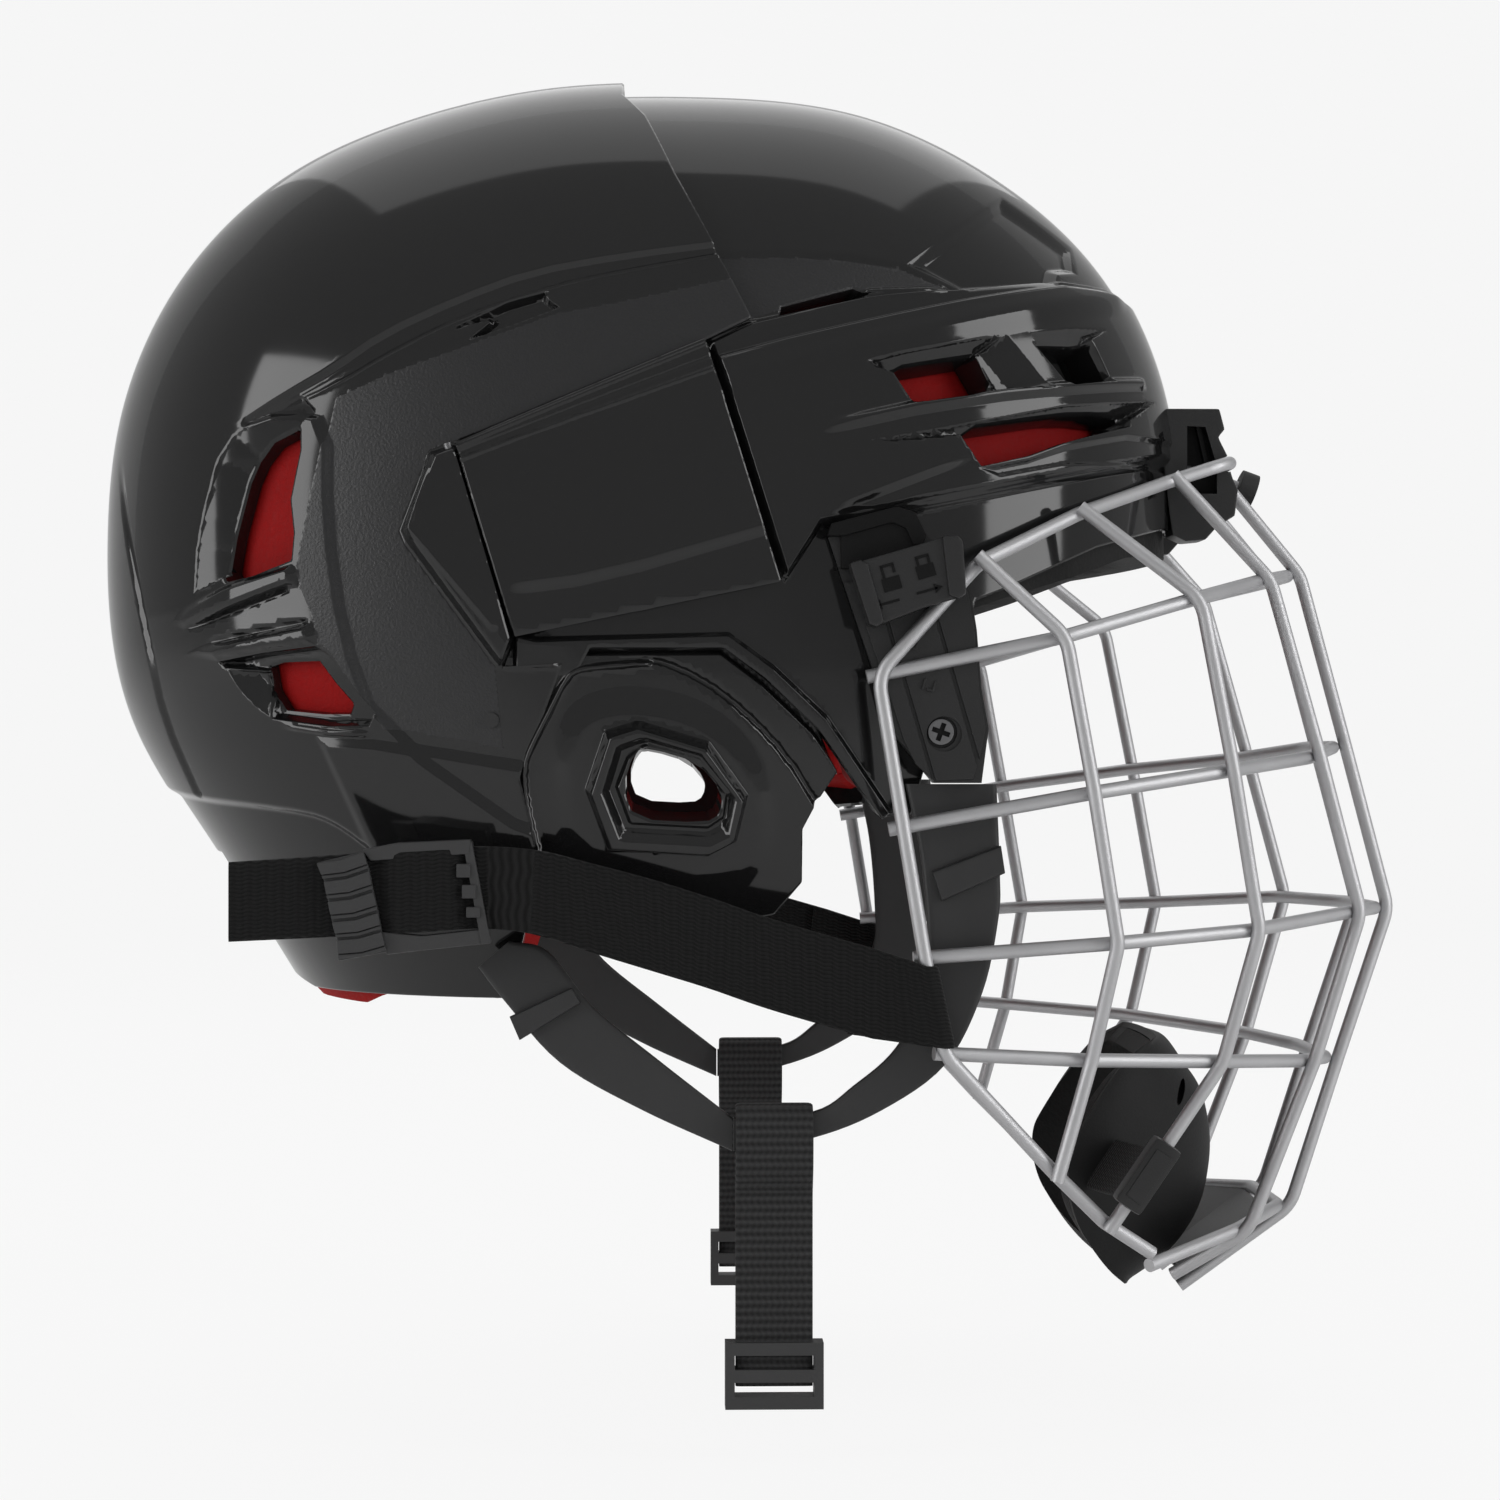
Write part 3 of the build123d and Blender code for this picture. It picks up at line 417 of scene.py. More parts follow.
def mesh_of(name, points, faces, marks=None, sharp=28.0, facing=None, top=None):
    """A mesh object from points in millimetres and faces, with the way its top faces where that is given."""
    mesh = bpy.data.meshes.new(name)
    faces = np.asarray(faces)
    mesh.vertices.add(len(points))
    mesh.vertices.foreach_set("co", (np.asarray(points) * millimetre).astype(np.float32).ravel())
    mesh.loops.add(faces.size)
    mesh.loops.foreach_set("vertex_index", faces.astype(np.int32).ravel())
    mesh.polygons.add(len(faces))
    mesh.polygons.foreach_set("loop_start", (np.arange(len(faces)) * faces.shape[1]).astype(np.int32))
    mesh.polygons.foreach_set("use_smooth", np.ones(len(faces), bool))
    mesh.update(calc_edges=True)
    mesh.validate()
    for mark, values in (marks or {}).items():
        mesh.attributes.new(mark, "FLOAT", "POINT").data.foreach_set("value", values.astype(np.float32))
    mesh.set_sharp_from_angle(angle=math.radians(sharp))
    if facing is not None:
        corner = np.empty(len(mesh.loops), np.int32)
        mesh.loops.foreach_get("vertex_index", corner)
        on_top = np.repeat(top[corner].reshape(-1, 3).all(1), 3)
        mesh.normals_split_custom_set(np.where(on_top[:, None], facing[corner], 0.0).tolist())
    return add_object(name, mesh)


def face_outward(piece):
    """Turns the faces of a closed piece outward."""
    shape = bmesh.new()
    shape.from_mesh(piece.data)
    bmesh.ops.recalc_face_normals(shape, faces=shape.faces)
    shape.to_mesh(piece.data)
    shape.free()


def settle(piece):
    """Makes what a piece's modifiers do its own mesh."""
    mesh = bpy.data.meshes.new_from_object(piece.evaluated_get(bpy.context.evaluated_depsgraph_get()))
    piece.modifiers.clear()
    piece.data = mesh


# Finishes

class Value:
    """A socket of a finish, so that its maths reads as sums."""

    def __init__(self, finish, socket):
        self.finish, self.socket = finish, socket

    def maths(self, operation, *others):
        values = dict(enumerate((self, *others)))
        return self.finish.node("ShaderNodeMath", {"operation": operation}, values)

    def __add__(self, other):
        return self.maths("ADD", other)

    def __mul__(self, other):
        return self.maths("MULTIPLY", other)

    def __sub__(self, other):
        return self.maths("SUBTRACT", other)

    def __rsub__(self, other):
        return self.finish.node("ShaderNodeMath", {"operation": "SUBTRACT"}, {0: other, 1: self})

    __radd__, __rmul__ = __add__, __mul__

    def clamp(self):
        return self.finish.node("ShaderNodeClamp", {}, {"Value": self})


class Finish:
    """A material of one Principled shader."""

    def __init__(self, name, color, roughness, **constants):
        self.material = bpy.data.materials.new(name)
        self.material.use_nodes = True
        self.tree = self.material.node_tree
        self.tree.nodes.clear()
        output = self.tree.nodes.new("ShaderNodeOutputMaterial")
        self.shader = self.tree.nodes.new("ShaderNodeBsdfPrincipled")
        self.tree.links.new(self.shader.outputs[0], output.inputs[0])
        self.set("Base Color", (*color, 1.0))
        self.set("Roughness", roughness)
        for socket, value in constants.items():
            self.set(socket.replace("_", " ").title().replace("Ior", "IOR"), value)

    def set(self, socket, value):
        if isinstance(value, Value):
            self.tree.links.new(value.socket, self.shader.inputs[socket])
        else:
            self.shader.inputs[socket].default_value = value

    def node(self, kind, settings, sockets, output=0):
        """A node of a kind, from its settings and the values or links of its sockets."""
        made = self.tree.nodes.new(kind)
        for name, value in settings.items():
            setattr(made, name, value)
        for name, value in sockets.items():
            if isinstance(value, Value):
                self.tree.links.new(value.socket, made.inputs[name])
            else:
                made.inputs[name].default_value = value
        return Value(self, made.outputs[output])

    def place(self):
        return self.node("ShaderNodeTexCoord", {}, {}, "Object")

    def noise(self, scale, detail=2.0):
        return self.node("ShaderNodeTexNoise", {}, {"Vector": self.place(), "Scale": scale, "Detail": detail})

    def mark(self, name):
        """A value kept on the mesh's points."""
        return self.node("ShaderNodeAttribute", {"attribute_name": name}, {}, 2)

    def blend(self, share, low, high):
        return self.node("ShaderNodeMix", {"data_type": "RGBA"}, {0: share, 6: low, 7: high}, 2)

    def bump(self, height, strength, distance):
        self.set("Normal", self.node("ShaderNodeBump", {}, {
            "Height": height, "Strength": strength, "Distance": distance}))


def shade(level):
    """A grey with a trace of blue."""
    return level, level, level * 1.02, 1.0


def shell_finish():
    """Black injected plastic, polished, with sparked satin panels where the mark says so."""
    polished_roughness, satin_more, cloud_more = 0.055, 0.34, 0.05
    satin_color = (0.016, 0.016, 0.017, 1.0)
    finish = Finish("shell_black", (0.012, 0.012, 0.012), 0.08)
    satin = finish.mark("satin")
    grain = finish.noise(1500.0)
    cloud = finish.noise(25.0, 3.0)
    finish.set("Base Color", finish.blend(satin * (grain * 0.7 + 0.5), shade(0.009), satin_color))
    finish.set("Roughness", satin * satin_more + (cloud * cloud_more + polished_roughness))
    finish.bump(satin * grain + finish.noise(60.0, 1.0) * 0.05, 0.35, 0.00035)
    return finish.material


def foam_finish(name, low, high):
    """Soft dull foam between two colours, in patches and grain."""
    finish = Finish(name, high, 0.75, specular_ior_level=0.2)
    grain = finish.noise(900.0, 3.0)
    patches = finish.noise(45.0) * 0.6 + grain * 0.4
    finish.set("Base Color", finish.blend(patches, (*low, 1.0), (*high, 1.0)))
    finish.set("Roughness", grain * 0.25 + 0.6)
    finish.bump(grain, 0.5, 0.0004)
    return finish.material


def moulded_finish(name, level, roughness, grain_size=1400.0, strength=0.25, gloss=0.5):
    """Spark-textured moulded plastic or rubber."""
    finish = Finish(name, (level, level, level), roughness, specular_ior_level=gloss)
    grain = finish.noise(grain_size)
    finish.set("Base Color", finish.blend(finish.noise(30.0, 3.0), shade(level * 0.8), shade(level * 1.25)))
    finish.set("Roughness", grain * 0.12 + (roughness - 0.06))
    finish.bump(grain, strength, 0.0002)
    return finish.material


def metal_finish(name, level, roughness):
    """Satin metal with a fine grain."""
    finish = Finish(name, (level, level, level), roughness, metallic=1.0)
    grain = finish.noise(3000.0)
    finish.set("Base Color", finish.blend(finish.noise(80.0), shade(level * 0.9), shade(level * 1.06)))
    finish.set("Roughness", grain * 0.16 + (roughness - 0.08))
    finish.bump(grain, 0.2, 0.0001)
    return finish.material


def webbing_finish(name, low, high, row, rib, rib_share, bunched=None):
    """Woven polyester: wavy yarn rows along the strap and ribs across it, by the strap's own lengths.

    Row and rib are widths in millimetres. Bunched is the start, end and fold width of a gathered part.
    """
    finish = Finish(name, (high, high, high), 0.8, sheen_weight=0.05, sheen_roughness=0.5,
                    specular_ior_level=0.3)
    over, length = finish.mark("over"), finish.mark("length")
    full_turn = 2 * math.pi
    ribs = (length * (full_turn / rib)).maths("SINE") * 0.5 + 0.5
    wave = (length * (math.pi / rib)).maths("SINE") * 1.1
    rows = (over * (full_turn / row) + wave).maths("SINE") * 0.5 + 0.5
    weave = rows * (1 - rib_share) + ribs * rib_share
    if bunched:
        start, end, coarse = bunched
        inside = ((length - start) * 1.5).clamp() * ((end - length) * 1.5).clamp()
        waver = (over * 0.9).maths("SINE") * 0.8
        folds = (length * (full_turn / coarse) + waver).maths("SINE") * 0.5 + 0.5
        weave = weave * (1 - inside) + folds * inside
    fuzz = finish.noise(2500.0)
    finish.set("Base Color", finish.blend(weave * 0.7 + fuzz * 0.3, shade(low), shade(high)))
    finish.set("Roughness", 0.92 - weave * 0.15)
    finish.bump(weave + fuzz * 0.3, 0.8, 0.0005)
    return finish.material


black_shell = shell_finish()
# Near-black plastic for the hood, the lock's signs and the clip's web, also for dark blocks of painted shade
# under the hood and in the screw's slots
dark_plastic_and_shade = moulded_finish("black_plastic_and_painted_shade", 0.003, 0.6, gloss=0.2)
side_webbing = webbing_finish("webbing_side", 0.0006, 0.005, 0.95, 1.9, 0.3, (61.0, 72.5, 2.1))
chin_webbing = webbing_finish("webbing_chin", 0.006, 0.045, 1.5, 1.9, 0.75)
finishes = {
    "shell_gloss": black_shell,
    "guard_gloss": black_shell,
    "foam_red": foam_finish("foam_red", (0.20, 0.001, 0.001), (0.38, 0.004, 0.004)),
    "foam_black": foam_finish("foam_black", (0.008, 0.008, 0.008), (0.02, 0.02, 0.02)),
    "wire_steel": metal_finish("wire_satin_steel", 0.54, 0.54),
    "screw_steel": metal_finish("screw_steel", 0.2, 0.45),
    "plate_dark": moulded_finish("plate_dark", 0.05, 0.45),
    "bracket_matte": moulded_finish("bracket_black", 0.013, 0.42),
    "sling_matte": moulded_finish("sling_matte", 0.022, 0.5, 900.0, 0.15),
    "bumper_rubber": moulded_finish("bumper_rubber", 0.012, 0.6),
    "buckle_grey": moulded_finish("buckle_grey", 0.034, 0.5),
    "cup_matte": moulded_finish("cup_matte", 0.008, 0.6, gloss=0.3),
    "webbing_black": webbing_finish("webbing_cup", 0.002, 0.012, 1.2, 1.4, 0.5),
}


def dress(piece, body, slot, replaced=(), finish=None):
    """Gives a piece its slot's finish or another one, its body, and the nodes that it stands for."""
    piece.data.materials.clear()
    piece.data.materials.append(finish or finishes[slot])
    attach(piece, body)
    if replaced:
        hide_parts(*replaced)
    return piece


# Shells

far = 170.0
seam = [(-5.7, far), (-5.4, 131.0), (0.3, 123.3), (7.6, 105.8), (16.1, 88.5), (19.5, 82.6), (26.0, 69.4)]
plate = [(14.4, 63.0), (-44.7, 37.7), (-30.6, -8.3), (32.3, 4.8)]
rear_lower = [(-34.0, -15.5), (-19.5, -14.6), (-24.1, -27.0), (-28.0, -35.0), (-29.7, -42.0),
              (-26.0, -58.0), (-29.1, -79.9), (-33.1, -96.5), (-84.9, -96.5), (-92.0, -93.9),
              (-110.1, -62.0), (-far, -62.0), (-far, far)]
rear_cover = Drawn(seam + [(14.4, 63.5), (-45.6, 38.2), (-31.5, -8.8)] + rear_lower, True)
rear_vent = Drawn([(-84.8, 42.8), (-82.6, 42.3), (-82.5, 37.0), (-84.9, 25.0), (-84.0, 17.0), (-84.6, 10.4),
                   (-94.3, 6.9), (-101.0, 5.6), (-102.2, 8.2), (-100.6, 17.0), (-96.9, 30.3), (-94.5, 35.5),
                   (-90.9, 39.8)], True)
low_vent = Drawn([(-92.4, -15.3), (-89.0, -14.2), (-79.8, -14.0), (-75.7, -19.5), (-71.3, -24.5),
                  (-72.2, -27.1), (-78.8, -27.1), (-88.6, -26.1), (-91.6, -21.1)], True)
satin_side = Drawn([(-74.7, 50.0), (-60.9, 56.0), (-43.6, 62.0), (-21.6, 70.0), (-5.8, 73.0), (24.6, 80.0),
                    (40.0, 66.0), (13.0, 60.0), (-45.2, 38.9), (-51.4, 36.6), (-58.8, 17.2), (-57.5, 14.0),
                    (-35.6, -15.5), (-33.7, -35.0), (-62.0, -30.0), (-75.2, -11.5), (-78.0, -9.5),
                    (-79.0, -4.0), (-82.2, 4.0), (-83.3, 8.3), (-80.9, 21.0), (-75.8, 44.5)], True)
hub = Step([(-45.2, 38.9), (-51.4, 36.6), (-58.8, 17.2), (-57.5, 14.0), (-35.6, -15.5), (-33.4, -16.5),
            (-20.0, -16.5), (-20.0, 30.0), (-40.0, 40.0)], 3.6, 2.9, 0, 0.0)
crown_edge = [(-99.6, 43.0), (-86.2, 50.4), (-74.9, 56.3), (-62.8, 64.6), (-44.6, 72.9), (-27.2, 79.5),
              (-5.9, 83.5), (25.7, 88.0)]
vent_band = [(-83.8, 51.6), (-92.3, 46.7), (-99.7, 41.4), (-104.0, 35.4), (-107.7, 22.0), (-109.3, 13.8),
             (-110.0, 2.7)]
low_facet = [(-101.6, -15.1), (-97.9, -21.0), (-93.6, -25.2), (-89.9, -27.5)]
rear_relief = [
    # The side, set below the crown's edge, with a groove and a ridge along that edge
    Step([*crown_edge, (60.0, 40.0), (20.0, -60.0), (-20.0, -60.0), (-64.0, -29.5), (-72.0, -8.0),
          (-76.0, 20.0), (-76.0, 44.0), (-88.0, 47.0)], 2.4, -1.5, 1),
    Fold(crown_edge, 0.9, -0.5, 1, (0.15, 0.0)),
    Fold([(-90.0, 47.0), (-74.7, 53.0), (-60.9, 61.0), (-43.6, 69.5), (-21.6, 77.0), (-5.8, 80.5),
          (21.0, 85.5)], 0.8, 0.4, 1, (0.2, 0.0)),
    # The notch in the crown's edge
    Step([(-46.5, 66.6), (-36.1, 69.0), (-42.5, 63.6), (-31.0, 67.6), (-20.6, 71.6), (-24.1, 74.2),
          (-23.4, 75.6), (-33.0, 72.8)], 0.9, -2.4, 0, 0.2),
    # The wall round the rear vent
    Ramp(vent_band, 7.4, 2.6, [(-108.4, 3.4), (-101.9, 6.7), (-96.0, 7.0), (-96.5, 20.0),
                                           (-93.0, 32.0), (-88.0, 38.0), (-83.5, 41.5), (-79.5, 47.0)],
         0.7),
    # The two bars between the rear vents, each with its groove
    Step([(-116.5, -4.2), (-111.8, 0.1), (-101.2, 4.7), (-84.5, 9.2), (-82.7, 7.7), (-83.0, 4.2),
          (-85.7, 3.8), (-99.4, -0.9), (-112.2, -5.2)], 2.2, 1.9, 0, 0.2, (-117.0, -98.0)),
    Fold([(-84.6, 3.6), (-99.4, -1.4), (-112.2, -5.6)], 1.1, -1.6, 0, (0.1, 0.2), True),
    Step([(-113.0, -11.6), (-106.6, -9.6), (-93.2, -7.2), (-79.7, -4.8), (-77.9, -7.4), (-78.6, -9.7),
          (-93.3, -11.5), (-103.5, -13.3)], 2.2, 1.9, 0, 0.2, (-115.0, -97.0)),
    Fold([(-80.0, -4.1), (-93.2, -6.5), (-106.6, -9.0)], 1.0, -1.2, 0, (0.1, 0.3), True),
    # The low vent's recess and slope, and the ridge under it
    Step([(-103.5, -13.6), (-92.0, -11.7), (-78.6, -10.2), (-75.6, -12.0), (-64.2, -26.5), (-65.7, -29.2),
          (-75.3, -29.4), (-89.9, -27.5), (-91.6, -21.7), (-92.7, -16.5), (-101.6, -15.1)],
         1.1, -3.2, 0, 0.1),
    Ramp(low_facet, 5.0, 2.6, [(-90.6, -21.7), (-91.6, -16.0)], 0.7),
    Fold([(-88.0, -29.0), (-75.3, -30.8), (-64.3, -31.2)], 1.2, 0.7, 0, (0.2, 0.2)),
    # The raised field above the side strap
    Step([(-78.4, -32.1), (-64.0, -33.0), (-33.0, -38.0), (-20.0, -40.0), (-20.0, -64.0), (-64.0, -64.0)],
         3.0, 0.9, 0, 0.3),
    # The low band round the nape
    Step([(-130.0, -44.0), (-112.1, -46.9), (-95.0, -48.4), (-82.0, -50.0), (-76.0, -52.0), (-69.3, -56.2),
          (-60.0, -64.0), (-20.0, -72.0), (-20.0, -110.0), (-130.0, -110.0)], 3.2, -1.9, 1, 0.3),
    # The crease down the back
    Fold([(-133.0, 40.0), (-129.8, 20.0), (-126.6, 7.2), (-122.8, -10.0), (-119.3, -27.4), (-111.9, -45.9)],
         1.4, -1.2, 1, (0.3, 0.0)),
    # The raised field behind the latch, with its ridge and slope
    hub,
    Fold([(-50.9, 34.8), (-54.9, 17.6), (-35.2, -5.5)], 1.6, 0.7, 0),
    Step([(-45.6, 38.2), (-49.5, 30.0), (-51.6, 17.8), (-34.2, -4.4), (-31.5, -8.8), (-20.0, 0.0),
          (-20.0, 40.0)], 5.0, -1.0, 0, 0.3),
]

front_cover = Drawn([(-28.0, far), (-26.9, 130.0), (-20.9, 121.0), (-13.9, 104.0), (-5.9, 86.9),
                     (-2.0, 76.0), (-28.0, 48.0), (-48.5, 38.0), (-46.5, 30.0), (-36.5, -9.0),
                     (-36.5, -18.0), (-16.5, -17.6), (-13.0, -10.9), (19.2, -10.9), (29.3, -18.3),
                     (42.0, -30.3), (57.8, -52.6), (65.9, -51.9), (75.0, -20.0), (82.1, 1.1), (89.7, 4.1),
                     (114.6, 15.5), (135.0, 21.7), (far, 26.0), (far, far)], True)
front_vents = [
    Drawn([(60.0, 56.4), (63.3, 58.4), (81.8, 62.2), (85.9, 55.2), (85.2, 53.0), (78.0, 50.2), (67.2, 48.6),
           (64.2, 49.9)], True),
    Drawn([(95.8, 64.9), (111.5, 66.6), (116.1, 57.0), (104.9, 54.6)], True),
    Drawn([(77.4, 41.0), (80.6, 43.4), (104.3, 48.0), (112.0, 48.8), (120.7, 48.9), (121.4, 46.3),
           (111.2, 43.2), (102.8, 40.5), (93.4, 36.8), (81.6, 33.8)], True),
    Drawn([(33.4, 71.2), (34.0, 74.0), (52.1, 79.4), (56.2, 77.8)], True),
]
edge_start, edge_end = (15.8, 63.6), (33.9, 5.2)
satin_front = Drawn([(10.0, 86.0), (18.8, 86.2), (34.6, 86.9), (50.5, 86.5), (63.4, 85.0), (76.2, 79.9),
                     (66.0, 79.4), (56.7, 79.2), (50.0, 78.0), (28.1, 71.2), (26.2, 70.6), (16.0, 70.0)],
                    True, 0)
front_relief = [
    # The satin field under the crown
    Step([(12.0, 86.6), (34.6, 87.6), (50.5, 87.4), (64.0, 85.6), (82.0, 79.2), (66.0, 78.2), (28.0, 69.6),
          (12.0, 69.6)], 2.4, -0.9, 0, 0.3),
    # The recess in front of it
    Step([(66.0, 85.6), (85.4, 101.7), (93.0, 108.0), (112.0, 96.0), (112.0, 88.0), (106.2, 86.6),
          (104.6, 82.0), (80.3, 78.4)], 4.0, -1.6, 0, 0.2),
    # The brow, raised in two terraces, with ridges along both and a swell between
    Step([(26.2, 68.9), (55.0, 76.2), (77.0, 79.2), (100.0, 84.0), (118.0, 84.5), (150.0, 84.0),
          (150.0, 40.0), (134.7, 38.0), (68.6, 22.6), (42.5, 18.0), edge_end, edge_start],
         1.6, 1.5, 0, 0.3),
    Step([(17.9, 59.2), (34.3, 64.0), (79.3, 75.6), (104.6, 81.6), (117.0, 81.4), (150.0, 80.0),
          (150.0, 41.0), (134.7, 39.0), (68.6, 23.6), (42.5, 19.0), edge_end, (17.0, 59.5)],
         1.8, 1.5, 0, 0.3),
    Fold([(16.8, 65.0), (25.7, 69.1), (55.0, 75.8), (77.0, 78.6)], 0.9, 0.5, 0, (0.0, 0.1)),
    Fold([(17.6, 59.2), (34.3, 63.8), (79.3, 75.3), (104.6, 81.4), (117.1, 81.3)], 0.9, 0.5, 0),
    Fold([(19.4, 52.5), (42.0, 59.2), (80.0, 69.5), (118.9, 80.0)], 5.5, 0.9, 1),
    # The sharp ridge beside the top vent
    Fold([(55.9, 78.3), (75.8, 80.0)], 1.4, 0.9, 0, (0.0, 0.3), True),
    # The walls of the upper vents
    Ramp([(88.5, 66.9), (82.3, 65.8), (61.8, 61.1), (52.4, 58.4)], 3.4, 3.2,
         [(59.8, 55.6), (64.7, 48.0), (87.6, 52.3), (87.2, 54.0), (82.1, 62.0)], 0.7),
    Ramp([(100.2, 53.2), (88.5, 66.9)], 6.6, 2.9, [(81.6, 62.0), (87.4, 52.5)], 0.5),
    Ramp([(116.9, 70.9), (105.3, 69.9), (94.2, 67.7)], 4.2, 3.0,
         [(104.9, 54.3), (116.6, 56.5), (112.5, 65.2), (111.2, 67.2)], 0.6),
    # The bar above the long vent, and the vent's wall and sill
    Fold([(37.0, 40.4), (46.7, 42.8), (64.7, 47.2), (87.1, 51.5), (127.1, 57.6)], 2.3, 1.5, 0, (0.2, 0.03)),
    Ramp([(130.6, 53.9), (103.0, 49.8), (72.8, 42.9), (48.5, 38.0)], 3.4, 3.1,
         [(60.0, 39.0), (76.0, 40.9), (81.4, 33.4), (93.4, 36.4), (102.8, 40.1), (111.2, 42.8), (121.6, 45.9),
          (121.6, 47.6)], 0.6),
    Step([(81.0, 33.0), (93.4, 35.8), (102.8, 39.4), (120.5, 43.6), (133.5, 44.0), (150.0, 44.0),
          (150.0, 38.0), (134.7, 37.0), (102.4, 34.6), (86.0, 31.0)], 1.6, -0.9, 0, 0.2),
    # The creases under the vents
    Fold([(44.0, 20.2), (78.3, 33.8), (86.0, 36.0)], 2.6, -0.8, 1, (0.2, 0.4)),
    Fold([(42.5, 20.0), (68.6, 24.7), (134.7, 39.6)], 1.8, -0.9, 1, (0.1, 0.0)),
    # The raised edge over the ear guard
    Step([(-31.5, -7.2), (-26.0, -8.8), (20.4, -7.4), (31.6, -15.6), (44.4, -27.6), (60.5, -51.0),
          (50.0, -60.0), (-31.5, -60.0)], 1.6, 1.7, 0, 0.3),
]


def cover(name, body, node, outline, grid, holes, relief, depth, wall, patches=(), rim=0.6, sides="both",
          fine=0.8, slot="shell_gloss", sharp=30.0, swell=None, lip=0.0):
    """A moulded cover of the head shape with its relief, openings, rounded rims and satin patches.

    Depth and wall are millimetres below the head shape. The lip is how much deeper the wall reaches round
    a hole.
    """
    lip_width, rim_drop, deepest, thinnest, on_edge = 1.5, 0.6, 3.6, 0.6, 0.02
    skin = Skin(outline.points[:-1], grid)
    rims = [(outline, 1)] + [(hole, -1) for hole in holes]
    for field in [outline, *holes, *patches]:
        skin.refine(field, fine)
    seams = [seam for feature in relief for seam in feature.seams()]
    for line in dict.fromkeys(line for line, _ in seams):
        skin.refine(line, fine * 1.3, max(abs(at) for other, at in seams if other is line))
    if sides == "both":
        skin.halve()
    skin.trim(outline)
    for hole in holes:
        skin.trim(hole, -1)
    for line, at in seams:
        skin.score(line, at)
    for patch in patches:
        skin.score(patch)
    for field, sign in rims:
        skin.score(field, sign * rim)
        skin.score(field, sign * rim / 2)
    if lip:
        for hole in holes:
            skin.score(hole, -lip_width)

    def outer_depth(view, smooth=False):
        rise = sum((feature.rise(view, smooth) for feature in relief), np.zeros(len(view)))
        if swell is not None:
            rise = swell(view, rise)
        drop = np.zeros(len(view))
        for field, sign in rims:
            drop = np.maximum(drop, rim_drop * rim * np.clip(1 - field(view) * sign / rim, 0, 1) ** 2)
        return np.minimum(depth - rise + drop, depth + deepest)

    view = skin.view()
    outer = outer_depth(view)
    inner = np.full(len(view), depth + wall)
    for hole in holes:
        inner = np.maximum(inner, depth + wall + lip * (hole(view) > -lip_width - on_edge))
    inner = np.maximum(inner, outer + thinnest)
    points, faces, source, top = skin.solid(outer, inner, sides)
    facing = skin.facing(lambda place: outer_depth(place, True))[source]
    facing[points[:, 1] > 0, 1] *= -1
    satin = np.zeros(len(view))
    for patch in patches:
        satin = np.maximum(satin, (patch(view) > on_edge).astype(float))
    piece = mesh_of(name, points, faces, {"satin": satin[source] * top}, sharp, facing, top)
    dress(piece, body, slot, [node])


def calm_brow(view, rise):
    """Less relief on the brow's middle, where the clips sit."""
    start, reach, half_width, calmed = 95.0, 45.0, 40.0, 0.55
    forward = ease((view[:, 0] - start) / reach) * ease(1 - from_middle(view) / half_width)
    return rise * (1 - calmed * forward)


cover("rear_shell_skin", "rear_shell", "rear_shell", rear_cover, 2.0, [rear_vent, low_vent], rear_relief,
      0.0, 2.2, [satin_side], lip=3.8)
cover("front_shell_skin", "front_shell", "front_shell", front_cover, 2.0, front_vents, front_relief, 3.5, 2.3,
      [satin_front], swell=calm_brow, lip=4.6)

# Side latches
plate_line = Drawn(plate, True)
plate_relief = [
    Fold([(-44.2, 36.6), (14.6, 61.4)], 0.8, 0.5, 0),
    Fold([(-43.4, 33.6), (16.2, 55.4)], 0.9, 0.5, 0),
    Fold([(-43.8, 35.2), (15.6, 58.4)], 0.8, -0.3, 0),
    Fold([(-42.5, 31.0), (18.3, 50.0)], 4.0, 0.5, 0, (0.3, 0.0)),
    Fold([(-33.0, 1.0), (-10.0, 4.0), (29.6, 15.6)], 3.2, -0.7, 1, (0.1, 0.0)),
]
for side in both_sides:
    latch = "side_latch_" + side
    cover(latch + "_skin", latch, latch, plate_line, 1.6, [],
          plate_relief, -0.4, 2.4, rim=0.5, sides=side, fine=0.9)

